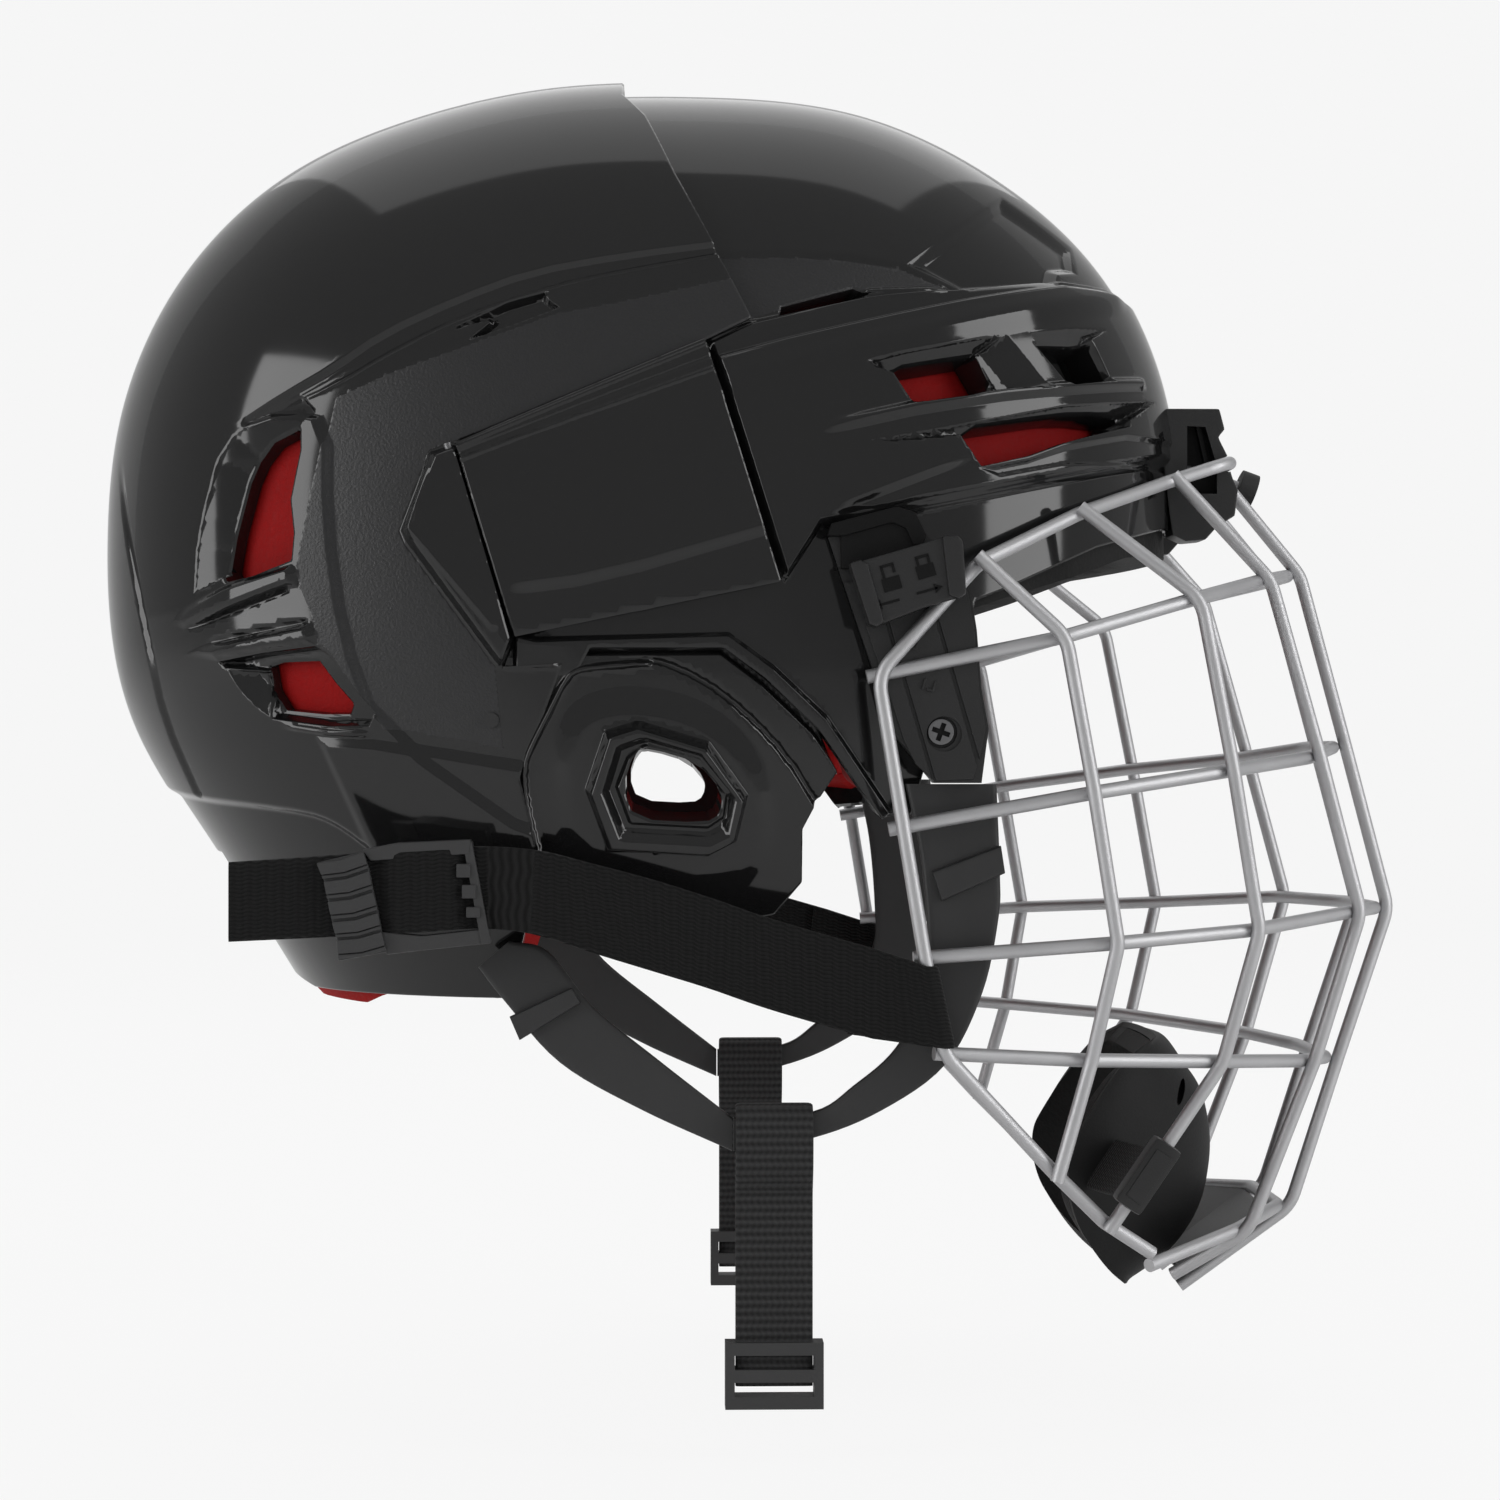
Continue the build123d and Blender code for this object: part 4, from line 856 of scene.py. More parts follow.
# Ear guards
guard_line = Drawn([(-41.0, -20.0), (-15.6, -10.5), (19.5, -10.2), (29.7, -18.1), (42.7, -29.8),
                    (47.0, -41.0), (42.2, -48.0), (38.5, -55.0), (38.5, -68.0), (31.7, -76.0), (9.9, -79.9),
                    (-11.9, -76.0), (-24.1, -65.9), (-41.0, -65.9)], True)
ear_hole = Drawn([(-2.3, -35.0), (1.7, -34.4), (12.5, -37.7), (18.4, -44.7), (17.8, -49.8), (14.4, -51.9),
                  (-2.3, -51.0), (-5.1, -43.5)], True, 1)
guard_relief = [
    # The ridge along the rim
    Fold([(-25.4, -61.0), (-28.4, -48.5), (-28.9, -39.7), (-27.2, -34.8), (-23.2, -27.0), (-18.6, -17.9),
          (-15.4, -16.0), (-6.0, -15.2), (1.0, -14.6)], 1.3, 1.3, 1),
    # The raised ring round the ear opening, hollowed, with its inner lip
    Step([(-9.2, -30.6), (-1.5, -28.2), (15.2, -33.2), (24.6, -46.1), (22.0, -56.9), (15.2, -60.4),
          (-8.6, -58.9), (-13.9, -44.7)], 2.4, 4.0, 0, 0.2),
    Step([(-6.6, -33.6), (-0.2, -31.4), (13.4, -35.4), (21.4, -45.8), (19.6, -54.2), (15.2, -56.4),
          (-5.8, -55.2), (-10.0, -44.5)], 2.6, -2.6, 0, 0.2),
    Step([(-3.9, -36.6), (1.0, -33.2), (12.9, -36.4), (19.6, -44.5), (18.9, -50.6), (15.0, -53.2),
          (-3.4, -52.2), (-6.6, -43.5)], 1.2, 1.2, 0, 0.4),
    # The crease beside the shell and the guard's soft middle
    Fold([(-14.0, -14.0), (1.6, -13.4), (14.0, -18.6), (24.5, -26.5), (34.5, -37.0), (42.0, -48.6)], 1.5,
         -1.2, 1, (0.3, 0.0)),
    Step([(-20.0, -24.0), (-4.0, -19.0), (18.0, -24.0), (33.0, -41.0), (34.0, -66.0), (10.0, -74.0),
          (-12.0, -70.0), (-22.0, -58.0), (-24.0, -40.0)], 7.0, 1.2, 2, 0.0),
    # What tucks under the shell
    Step([(-50.0, 10.0), (-50.0, -14.0), (-16.0, -12.8), (18.4, -12.6), (28.6, -20.2), (41.0, -32.0),
          (52.0, -48.0), (60.0, 10.0)], 1.2, -2.3, 0, 0.3),
]
for side in both_sides:
    guard = "ear_guard_" + side
    cover(guard + "_skin", "rear_shell", guard, guard_line, 1.6, [ear_hole], guard_relief, 2.5, 2.5, rim=0.7,
          sides=side, slot="guard_gloss")


# Padding

def pad(name, body, node, outline, face, back, slot, holes=(), sides="both", round_off=5.0, vents=(),
        vent_face=0.0):
    """A foam pad on the inside of a cover, with its edges rolled and its face sunk behind vents."""
    grid, fine, fill, rolled = 4.0, 2.0, 0.9, 0.35
    sunk, level = -2.2, -4.0
    outline = Drawn(outline, True)
    skin = Skin(outline.points[:-1], grid)
    skin.refine(outline, fine, round_off)
    if sides == "both":
        skin.halve()
    skin.trim(outline)
    for hole in holes:
        skin.refine(hole, fine, fine)
        skin.trim(hole, -1)
    for vent in vents:
        skin.refine(vent, 1.2, 5.0)
        skin.score(vent, sunk)
        skin.score(vent, level)
    view = skin.view()
    edge = np.clip(outline(view) / round_off, 0, 1)
    thick = (back - face) * (1 - rolled * (1 - np.sqrt(1 - (1 - edge) ** 2)))
    faced = np.full(len(view), face)
    for vent in vents:
        faced = np.maximum(faced, np.interp(vent(view), [level, sunk], [face, vent_face]))
    points, faces, _, _ = skin.solid(faced, face + thick, sides)
    piece = mesh_of(name, points, faces, None, 50.0)
    dress(piece, body, slot, [node] if node else ())


rear_liner_line = [(-30.0, far), (-28.9, 130.0), (-22.9, 121.0), (-16.1, 104.0), (-7.9, 86.0), (-4.0, 76.0),
                   (-30.0, 44.9), (-34.0, 20.0), (-35.9, -12.0), (-32.0, -60.1), (-33.1, -96.3),
                   (-66.0, -98.4), (-71.5, -101.2), (-85.5, -100.6), (-91.0, -96.0), (-97.9, -86.0),
                   (-far, -70.0), (-far, far)]
front_liner_line = [(-26.0, far), (-24.9, 128.0), (-19.0, 120.0), (-11.9, 102.1), (-4.0, 86.0), (0.0, 75.0),
                    (-24.9, 44.0), (-28.0, 20.0), (-28.0, -6.0), (19.0, -6.0), (34.0, -16.0), (69.9, 2.0),
                    (84.1, 9.9), (108.1, 42.0), (far, 42.0), (far, far)]
guard_room = Drawn([(-41.5, -9.7), (47.5, -9.7), (47.5, -80.4), (-41.5, -80.4)], True)
latch_room = Drawn([(-36.3, 37.5), (-51.6, 37.5), (-39.5, -8.4), (-24.0, -8.4)], True)
pad("rear_liner_foam", "rear_shell", "rear_liner", rear_liner_line, 4.6, 21.5, "foam_red",
    [guard_room, latch_room], vents=[rear_vent, low_vent], vent_face=6.6)
pad("front_liner_foam", "front_shell", "front_liner", front_liner_line, 7.0, 25.1, "foam_red",
    vents=front_vents, vent_face=11.2)
# Black foam blocks behind parts of the vents: painted shade where the red liner would show
pad("vent_shade_front", "front_shell", None, [(101.5, 74.0), (127.0, 74.0), (127.0, 50.0), (107.8, 50.0)],
    10.4, 11.8, "foam_black", round_off=0.5)
pad("vent_shade_rear", "rear_shell", None, [
    (-86.3, 26.0), (-80.0, 25.0), (-80.0, 2.0), (-103.0, 2.0), (-103.0, 5.6), (-94.0, 8.0), (-88.2, 11.2)],
    6.0, 7.0, "foam_black", round_off=0.5)
pad("brow_pad_foam", "front_shell", "brow_pad", [
    (82.1, -1.0), (88.0, 1.0), (110.1, 8.0), (125.9, 14.0), (far, 19.0), (far, 41.0), (108.1, 41.0),
    (84.1, 9.0)], 6.1, 21.1, "foam_black", round_off=4.0)
pad("occipital_pad_foam", "rear_shell", "occipital_pad", [
    (-150.0, -15.0), (-150.0, -70.0), (-97.9, -84.0), (-60.0, -84.0), (-60.0, -40.0), (-75.0, -15.0)],
    21.8, 30.8, "foam_black", round_off=6.0)
for side in both_sides:
    pad("temple_pad_" + side + "_foam", "front_shell", "temple_pad_" + side, [
        (35.1, -16.9), (47.0, -30.0), (54.1, -47.0), (64.0, -48.0), (71.9, -20.0), (79.0, 0.0), (69.9, 1.0)],
        6.1, 18.1, "foam_red", (), side, 3.0)


# Straps and slings

def smooth(points, steps=8):
    """A soft curve through points, with even steps between them."""
    points = np.array(points, float)
    padded = np.vstack([2 * points[0] - points[1], points, 2 * points[-1] - points[-2]])
    line = []
    for a, b, c, d in zip(padded, padded[1:], padded[2:], padded[3:]):
        for t in np.linspace(0, 1, steps, endpoint=False):
            square, cube = 2 * a - 5 * b + 4 * c - d, 3 * b - a - 3 * c + d
            line.append(0.5 * (2 * b + (c - a) * t + square * t * t + cube * t ** 3))
    return np.array(line + [points[-1]])


def ribbon(name, upper, lower, out, thick, strips=14):
    """A closed strap with rounded edges, from its two edges and the way its face looks at each station."""
    upper, lower, out = (np.array(values, float) for values in (upper, lower, out))
    count = len(upper)
    thick = np.broadcast_to(np.asarray(thick, float), count)[:, None]
    edge_shares, edge_full = [0, 0.02, 0.05], [0.3, 0.75, 0.96]
    flat = strips - len(edge_shares) - 2
    shares = np.concatenate([edge_shares, np.linspace(0.1, 0.9, flat), [0.95, 0.98, 1]])
    full = np.concatenate([edge_full, np.ones(flat), edge_full[::-1]])
    middle = (upper + lower) / 2
    length = np.concatenate([[0], np.cumsum(np.linalg.norm(np.diff(middle, axis=0), axis=1))])
    wide = np.linalg.norm(lower - upper, axis=1)
    rings, over = [], []
    for way in (1, -1):
        for share, part in zip(shares[::way], full[::way]):
            rings.append(upper + share * (lower - upper) + way * out * thick * part / 2)
            over.append(share * wide)
    loop = len(rings)
    points = np.stack(rings, 1).reshape(-1, 3)
    i, j = np.meshgrid(np.arange(count - 1), np.arange(loop), indexing="ij")
    ahead = (j + 1) % loop
    faces = np.stack([i * loop + j, i * loop + ahead, (i + 1) * loop + ahead, (i + 1) * loop + j],
                     -1).reshape(-1, 4)
    half = loop // 2
    caps = [(k, loop - 1 - k, loop - 2 - k, k + 1) for k in range(half - 1)]
    last = (count - 1) * loop
    caps += [(last + k + 1, last + loop - 2 - k, last + loop - 1 - k, last + k) for k in range(half - 1)]
    piece = mesh_of(name, points, np.vstack([faces, caps]), {
        "over": np.stack(over, 1).ravel(), "length": np.repeat(length, loop)}, 50.0)
    face_outward(piece)
    return piece


def flip(points, side):
    """Points of the right side, or their mirror image on the left."""
    return np.array(points, float) * (1, 1 if side == "right" else -1, 1)


strap_upper = smooth([(-97.4, -61.3), (-82.0, -60.3), (-68.0, -59.3), (-53.0, -58.4), (-38.5, -57.6),
                      (-24.9, -58.6), (-13.4, -61.4), (1.6, -65.4), (16.2, -70.0), (30.7, -75.0),
                      (60.2, -83.6), (66.4, -85.9)])
strap_lower = smooth([(-97.4, -80.0), (-82.0, -79.3), (-68.0, -78.6), (-53.0, -77.8), (-38.5, -77.0),
                      (-25.9, -78.4), (-10.0, -83.4), (3.0, -87.4), (15.2, -91.2), (31.7, -96.8),
                      (60.0, -104.6), (70.5, -105.4)])


def side_strap(side):
    """Webbing from its free tail through the buckle to a sewn loop round the cage's rear post."""
    strap_y, loop_radius, single, doubled = -105.0, 2.35, 1.5, 1.1
    wave_height, wave_length, buckle_end, calm = 0.25, 9.0, -30, 0.3
    window_start, window_end, window_ease, window_rise = -62.5, -41.0, 5, 1.9
    loop_upper, loop_lower = 56, 58
    sewn_gap, sewn_upper, sewn_lower = 0.85, np.array([4, -1]), np.array([6, -1])
    post_upper, post_lower = np.array([66.5, -85.9]), np.array([70.6, -105.3])
    stations = []

    def add(upper, lower, y, out, thick):
        stations.append(((upper[0], y, upper[1]), (lower[0], y, lower[1]), out, thick))

    keep = (strap_upper[:, 0] < loop_upper) & (strap_lower[:, 0] < loop_lower)
    for upper, lower in zip(strap_upper[keep], strap_lower[keep]):
        wave = wave_height * math.sin(upper[0] / wave_length) * (1 if upper[0] > buckle_end else calm)
        swell = window_rise * ease((upper[0] - window_start) / window_ease)
        swell *= ease((window_end - upper[0]) / window_ease)
        add(upper, lower, strap_y + wave - swell, (0, -1, 0), single)
    edge_upper, edge_lower = strap_upper[keep][-1], strap_lower[keep][-1]
    for t in np.linspace(0.15, 1, 7):
        upper = edge_upper + (post_upper - edge_upper) * t
        lower = edge_lower + (post_lower - edge_lower) * t
        add(upper, lower, strap_y - loop_radius * ease(t), (0, -1, 0), single - (single - doubled) * t)
    for angle in np.radians(np.linspace(-90, 90, 13)[1:]):
        turn = np.array([loop_radius * math.cos(angle), 0.0])
        out = (math.cos(angle), math.sin(angle), 0)
        add(post_upper + turn, post_lower + turn, strap_y + loop_radius * math.sin(angle), out, doubled)
    for t in np.linspace(0, 1, 9)[1:]:
        upper = post_upper + (edge_upper - sewn_upper - post_upper) * t
        lower = post_lower + (edge_lower - sewn_lower - post_lower) * t
        add(upper, lower, strap_y + loop_radius - sewn_gap * ease(t), (0, 1, 0), doubled)
    upper, lower, out, thick = zip(*stations)
    strap = "side_strap_" + side
    piece = ribbon(strap + "_webbing", flip(upper, side), flip(lower, side), flip(out, side), thick)
    dress(piece, strap, "webbing_black", [strap], side_webbing)


def chin_strap(side):
    """Doubled webbing from a loop over the sling down to the slide buckle."""
    rear_edge, front_edge, thick, strap_y = 21.7, 40.1, 1.45, -95.0
    half_loop = [(-0.8, -186.4), (-0.8, -165.0), (-0.85, -143.0), (-2.0, -138.5), (-4.4, -134.0),
                 (-5.0, -128.0), (-4.4, -123.4), (-2.8, -120.8)]
    line = [(strap_y - y, z) for y, z in half_loop] + [(strap_y, -119.8)]
    line = smooth(line + [(strap_y + y, z) for y, z in half_loop[::-1]], 6)
    run = np.gradient(line, axis=0)
    run /= np.linalg.norm(run, axis=1)[:, None]
    rear = [(rear_edge, y, z) for y, z in line]
    front = [(front_edge, y, z) for y, z in line]
    out = [(0, dz, -dy) for dy, dz in run]
    strap = "chin_strap_" + side
    piece = ribbon(strap + "_webbing", flip(rear, side), flip(front, side), flip(out, side), thick)
    dress(piece, strap, "webbing_black", [strap], chin_webbing)


def sling(name, inner, outer, offsets, side, body, node):
    """Half of a moulded sling, from its two edges and its places across."""
    thick = 2.2
    inner, outer = smooth(inner, 6), smooth(outer, 6)
    offsets = smooth([(offset, 0) for offset in offsets], 6)[:, 0]
    upper = [(x, -y, z) for (x, z), y in zip(inner, offsets)]
    lower = [(x, -y, z) for (x, z), y in zip(outer, offsets)]
    piece = ribbon(name, flip(upper, side), flip(lower, side), flip([(0, -1, 0)] * len(upper), side), thick)
    dress(piece, body, "sling_matte", [node])


sling_front = ([(62.3, -43.1), (65.9, -60.1), (67.6, -79.9), (67.1, -92.0), (60.0, -106.0), (50.1, -114.9),
                (40.2, -121.2), (21.2, -122.5)], [(84.1, -43.1), (84.9, -64.0), (84.6, -75.0),
                                                  (80.7, -93.0), (71.9, -110.0), (56.6, -121.0),
                                                  (40.2, -127.5), (21.2, -130.5)], [95.0] * 8)
sling_rear = ([(-32.3, -80.6), (-22.9, -83.0), (-12.2, -96.2), (3.4, -108.9), (20.9, -122.5)],
              [(-39.6, -86.8), (-33.1, -95.1), (-20.1, -109.5), (-1.1, -120.5), (20.9, -130.5)],
              [92.6, 93.1, 93.8, 94.5, 95.0])
keepers = {
    "front": ("front_shell", [[(68.6, -63.9), (84.9, -57.8)], [(70.9, -71.0), (85.9, -64.4)]], (96.6, 96.6)),
    "rear": ("rear_shell", [[(-32.0, -98.4), (-17.4, -91.6)], [(-29.6, -104.0), (-15.2, -95.2)]],
             (95.1, 95.4)),
}
for side in both_sides:
    side_strap(side)
    chin_strap(side)
    sling("sling_front_" + side + "_band", *sling_front, side, "front_shell", "sling_front_" + side)
    sling("sling_rear_" + side + "_band", *sling_rear, side, "rear_shell", "sling_rear_" + side)
for name, (body, (upper, lower), offsets) in keepers.items():
    for side in both_sides:
        edges = []
        for edge in (upper, lower):
            edges.append(flip([(x, -y, z) for (x, z), y in zip(smooth(edge, 6), np.linspace(*offsets, 7))],
                              side))
        bar = ribbon("sling_keeper_" + name + "_" + side, *edges, flip([(0, -1, 0)] * 7, side), 2.8)
        dress(bar, body, "sling_matte", ["sling_keepers_" + name])


# Moulded small parts

def lump(outline, low, high, bevel=0.4, turn=None):
    """A bevelled block from a side-view outline, between two places across, as its own object."""
    shape = bmesh.new()
    face = shape.faces.new([shape.verts.new((x, low, z)) for x, z in outline])
    drawn = bmesh.ops.extrude_face_region(shape, geom=[face])["geom"]
    moved = [corner for corner in drawn if isinstance(corner, bmesh.types.BMVert)]
    bmesh.ops.translate(shape, verts=moved, vec=(0, high - low, 0))
    bmesh.ops.recalc_face_normals(shape, faces=shape.faces)
    if bevel:
        bmesh.ops.bevel(shape, geom=shape.edges[:], offset=bevel, segments=2, profile=0.65, affect="EDGES",
                        clamp_overlap=True)
    if turn is not None:
        bmesh.ops.transform(shape, matrix=turn, verts=shape.verts)
    bmesh.ops.scale(shape, vec=(millimetre,) * 3, verts=shape.verts)
    mesh = bpy.data.meshes.new("lump")
    shape.to_mesh(mesh)
    shape.free()
    return add_object("lump", mesh)


def round_outline(x, z, radius, count=28, squash=1.0):
    """A circle's corners, or with a squash below 1 an oval's."""
    angles = np.linspace(0, 2 * math.pi, count, endpoint=False)
    return [(x + radius * math.cos(a), z + squash * radius * math.sin(a)) for a in angles]


def merged(name, added, cut=(), side="right", laid=()):
    """One closed moulding from overlapping blocks, less the cut ones, with small signs laid on it."""
    weld, crease = 1e-6, math.radians(35)
    base = added[0]
    steps = [(other, "UNION") for other in added[1:]] + [(other, "DIFFERENCE") for other in cut]
    for other, operation in steps:
        joiner = base.modifiers.new("join", "BOOLEAN")
        joiner.operation, joiner.object, joiner.solver = operation, other, "EXACT"
        settle(base)
        bpy.data.objects.remove(other)
    base.name = name
    tidy = bmesh.new()
    tidy.from_mesh(base.data)
    bmesh.ops.remove_doubles(tidy, verts=tidy.verts, dist=weld)
    for sign in laid:
        tidy.from_mesh(sign.data)
        bpy.data.objects.remove(sign)
    if side == "left":
        bmesh.ops.scale(tidy, vec=(1, -1, 1), verts=tidy.verts)
        bmesh.ops.reverse_faces(tidy, faces=tidy.faces)
    for face in tidy.faces:
        face.smooth = True
    tidy.to_mesh(base.data)
    tidy.free()
    base.data.set_sharp_from_angle(angle=crease)
    base.modifiers.new("weight", "WEIGHTED_NORMAL").keep_sharp = True
    settle(base)
    return base


def rect(x0, z0, x1, z1):
    """A rectangle's corners in the side view."""
    return [(x0, z0), (x1, z0), (x1, z1), (x0, z1)]


buckle_left = [(-76.6, -61.4), (-74.9, -65.7), (-74.0, -70.4), (-73.0, -75.2), (-71.9, -79.4), (-71.6, -84.4)]
buckle_right = [(-65.6, -58.8), (-64.3, -63.2), (-63.3, -68.1), (-62.2, -73.0), (-61.4, -77.4),
                (-60.2, -82.4)]


def side_buckle(side):
    """A press-and-lift buckle: a grip of lobes with a ledge under each, two rails and a toothed end bar."""
    left_line, right_line = np.array(buckle_left), np.array(buckle_right)
    sag = np.array([0.0, -0.6])

    def band(spot, start, end):
        """A lobe's outline between two shares of its height."""
        line = []
        for share in (start, end):
            left = left_line[spot] + share * (left_line[spot + 1] - left_line[spot])
            right = right_line[spot] + share * (right_line[spot + 1] - right_line[spot])
            row = [left, (left + right) / 2 + sag, right]
            line += row if share == start else row[::-1]
        return [tuple(point) for point in line]

    back, face, upper_face, lower_face = -101.6, -107.2, -107.4, -106.9
    lobe_face, ledge_face, tooth_face, sunk = -108.6, -108.2, -107.9, -106.0
    added = [
        lump(buckle_left + buckle_right[::-1], face, back, 0.3),
        lump([(-66.2, -58.4), (-58.0, -56.8), (-40.6, -56.0), (-41.0, -59.4), (-64.0, -61.0)],
             upper_face, back, 0.5),
        lump([(-61.8, -77.6), (-60.4, -83.0), (-52.0, -82.0), (-36.0, -80.4), (-37.2, -77.0), (-52.0, -78.6)],
             lower_face, back, 0.5),
        lump([(-42.6, -56.4), (-40.4, -56.4), (-35.9, -80.4), (-38.2, -80.6)], face, back, 0.4),
    ]
    for spot in range(len(buckle_left) - 1):
        added.append(lump(band(spot, 0.02, 0.66), lobe_face, sunk, 0.35))
        added.append(lump(band(spot, 0.71, 0.88), ledge_face, sunk, 0.2))
    for x, top, low in ((-42.5, -61.7, -64.9), (-41.2, -66.6, -69.8), (-40.2, -71.8, -74.3)):
        added.append(lump(rect(x - 1.5, low, x + 1.8, top), tooth_face, sunk + 0.1, 0.35))
    slot = lump([(-90.0, -59.6), (-30.0, -57.2), (-30.0, -78.6), (-90.0, -81.0)], sunk, -104.0, 0.0)
    piece = merged("side_buckle_" + side + "_moulding", added, [slot], side)
    dress(piece, "side_strap_" + side, "buckle_grey", ["side_buckle_" + side])


def turned(x, z, angle):
    """Turns a block in the side view and moves it to a place."""
    return Matrix.Translation((x, 0, z)) @ Matrix.Rotation(angle, 4, "Y")


def lock(side):
    """The slider over the cage's rail, with its open and closed signs."""
    face, back, grip_face, grip_back = -108.9, -100.3, -110.0, -103.0
    sign_face, sign_back, slant = -109.15, -108.4, math.radians(-16)
    added = [
        lump([(48.2, 8.6), (69.3, 14.7), (73.9, 14.8), (75.0, 1.0), (66.5, -1.3), (54.6, -6.0)],
             face, back, 0.8),
        lump([(48.0, 8.8), (50.6, 9.7), (52.6, 8.6), (56.4, -5.0), (54.5, -6.4), (52.6, -5.6)],
             grip_face, grip_back, 1.0),
        lump([(69.8, 15.2), (73.6, 15.4), (74.8, 14.0), (75.6, 1.6), (73.6, 0.4), (71.4, 1.2)],
             grip_face, grip_back, 1.0),
    ]
    signs = []
    for x, z, lift, short in ((58.0, 4.2, 0.9, 1.0), (66.0, 7.2, 0.0, 0.0)):
        body, shackle, bow = rect(-2.2, -1.8, 2.2, 1.4), 3.3 + lift, 3.0 + lift
        sign = [body, rect(-1.7, 1.2, -1.0, shackle), rect(-1.7, bow, 1.7, bow + 0.7),
                rect(1.0, 1.2 + short, 1.7, shackle)]
        signs += [lump(outline, sign_face, sign_back, 0.1, turned(x, z, slant)) for outline in sign]
    for x, z, way in ((57.4, -0.4, -1), (66.4, 2.4, 1)):
        arrow = [rect(-2.6, -0.3, 2.6, 0.3), [(way * 3.8, 0.0), (way * 1.8, 1.2), (way * 1.8, -1.2)][::way]]
        signs += [lump(outline, sign_face, sign_back, 0.08, turned(x, z, slant)) for outline in arrow]
    low, high = np.array([55.1, -17.3]), np.array([80.4, 9.4])
    run = (high - low) / np.linalg.norm(high - low)
    up = np.array([-run[1], run[0]])
    wire_room, past_low, past_high, below = 2.3, 40, 80, 40
    edge = [low + up * wire_room - run * past_low, low + up * wire_room + run * past_high]
    channel = [tuple(corner) for corner in (edge[0], edge[1], edge[1] - up * below, edge[0] - up * below)]
    name = "cage_lock_" + side
    piece = merged(name + "_moulding", added, [lump(channel, -107.2, -90.0, 0.0)], side)
    dress(piece, name, "bracket_matte", [name])
    drawn = merged("cage_lock_signs_" + side, signs[:1], (), side, signs[1:])
    dress(drawn, name, "bracket_matte", (), dark_plastic_and_shade)


def bracket_trim(side):
    """The hood, face panels, numbers and cross-head screw of the temple bracket, with painted shade under the
    hood and in the screw's slots.
    """
    face, back, number_face, number_back, number_slant = -100.7, -98.6, -101.3, -100.4, math.radians(16)
    added = [
        lump([(54.2, -1.2), (56.3, -1.5), (68.1, -41.9), (64.4, -38.4), (61.6, -33.0), (58.4, -23.0),
              (54.6, -12.0), (52.6, -6.0)], face, back, 0.3),
        lump([(57.1, -1.5), (68.2, -1.2), (78.9, -38.9), (78.0, -41.9), (69.1, -42.3)], face, back, 0.3),
        lump([(69.2, -2.0), (76.6, 3.4), (78.3, -6.4), (79.4, -20.6), (81.0, -29.8), (79.6, -37.2)],
             face, back, 0.3),
    ]
    signs = []
    for x, z in ((63.4, -9.6), (65.4, -14.6), (67.4, -19.6)):
        for outline in (rect(-1.4, -1.3, -0.9, 1.3), rect(-0.2, -1.3, 1.6, -0.8), rect(1.1, -1.0, 1.6, 1.3)):
            signs.append(lump(outline, number_face, number_back, 0.1, turned(x, z, number_slant)))
    seat = lump(round_outline(71.1, -31.2, 4.2), -104.0, -98.0, 0.0)
    trim = merged("bracket_trim_" + side, added, [seat], side, signs)
    dress(trim, "front_shell", "bracket_matte")

    screw_x, screw_z = 70.4, -30.7
    turn = turned(screw_x, screw_z, math.radians(20))

    def cross(long, half, low, high):
        """The two bars of a cross-head recess."""
        bars = (rect(-long, -half, long, half), rect(-half, -long, half, long))
        return [lump(outline, low, high, 0.0, turn) for outline in bars]

    head = lump(round_outline(screw_x, screw_z, 3.1), -100.2, -97.0, 0.5)
    screw = merged("bracket_screw_" + side, [head], cross(2.2, 0.6, -102.0, -98.6), side)
    dress(screw, "front_shell", "screw_steel", ["bracket_screws"])
    # A near-black cross on the floor of the screw's slots: painted shade
    floor = merged("bracket_screw_recess_shade_" + side, cross(2.3, 0.7, -99.7, -98.0), (), side)
    dress(floor, "front_shell", "bracket_matte", (), dark_plastic_and_shade)
    # The hood's arch, and under it a near-black block that is painted shade
    hood = [
        lump([(43.2, 15.6), (44.2, 18.6), (59.6, 22.6), (64.2, 21.2), (66.8, 16.0), (66.0, 13.6),
              (63.6, 13.4), (61.8, 17.4), (58.6, 18.8), (47.2, 15.6)], -103.4, -98.0, 0.6),
        lump([(46.6, 8.0), (46.4, 16.2), (58.8, 19.9), (62.6, 18.3), (64.8, 13.2), (64.6, 8.0)],
             -102.6, -98.4, 0.3),
    ]
    dress(merged("bracket_hood_and_shade_" + side, hood, (), side), "front_shell", "bracket_matte", (), dark_plastic_and_shade)


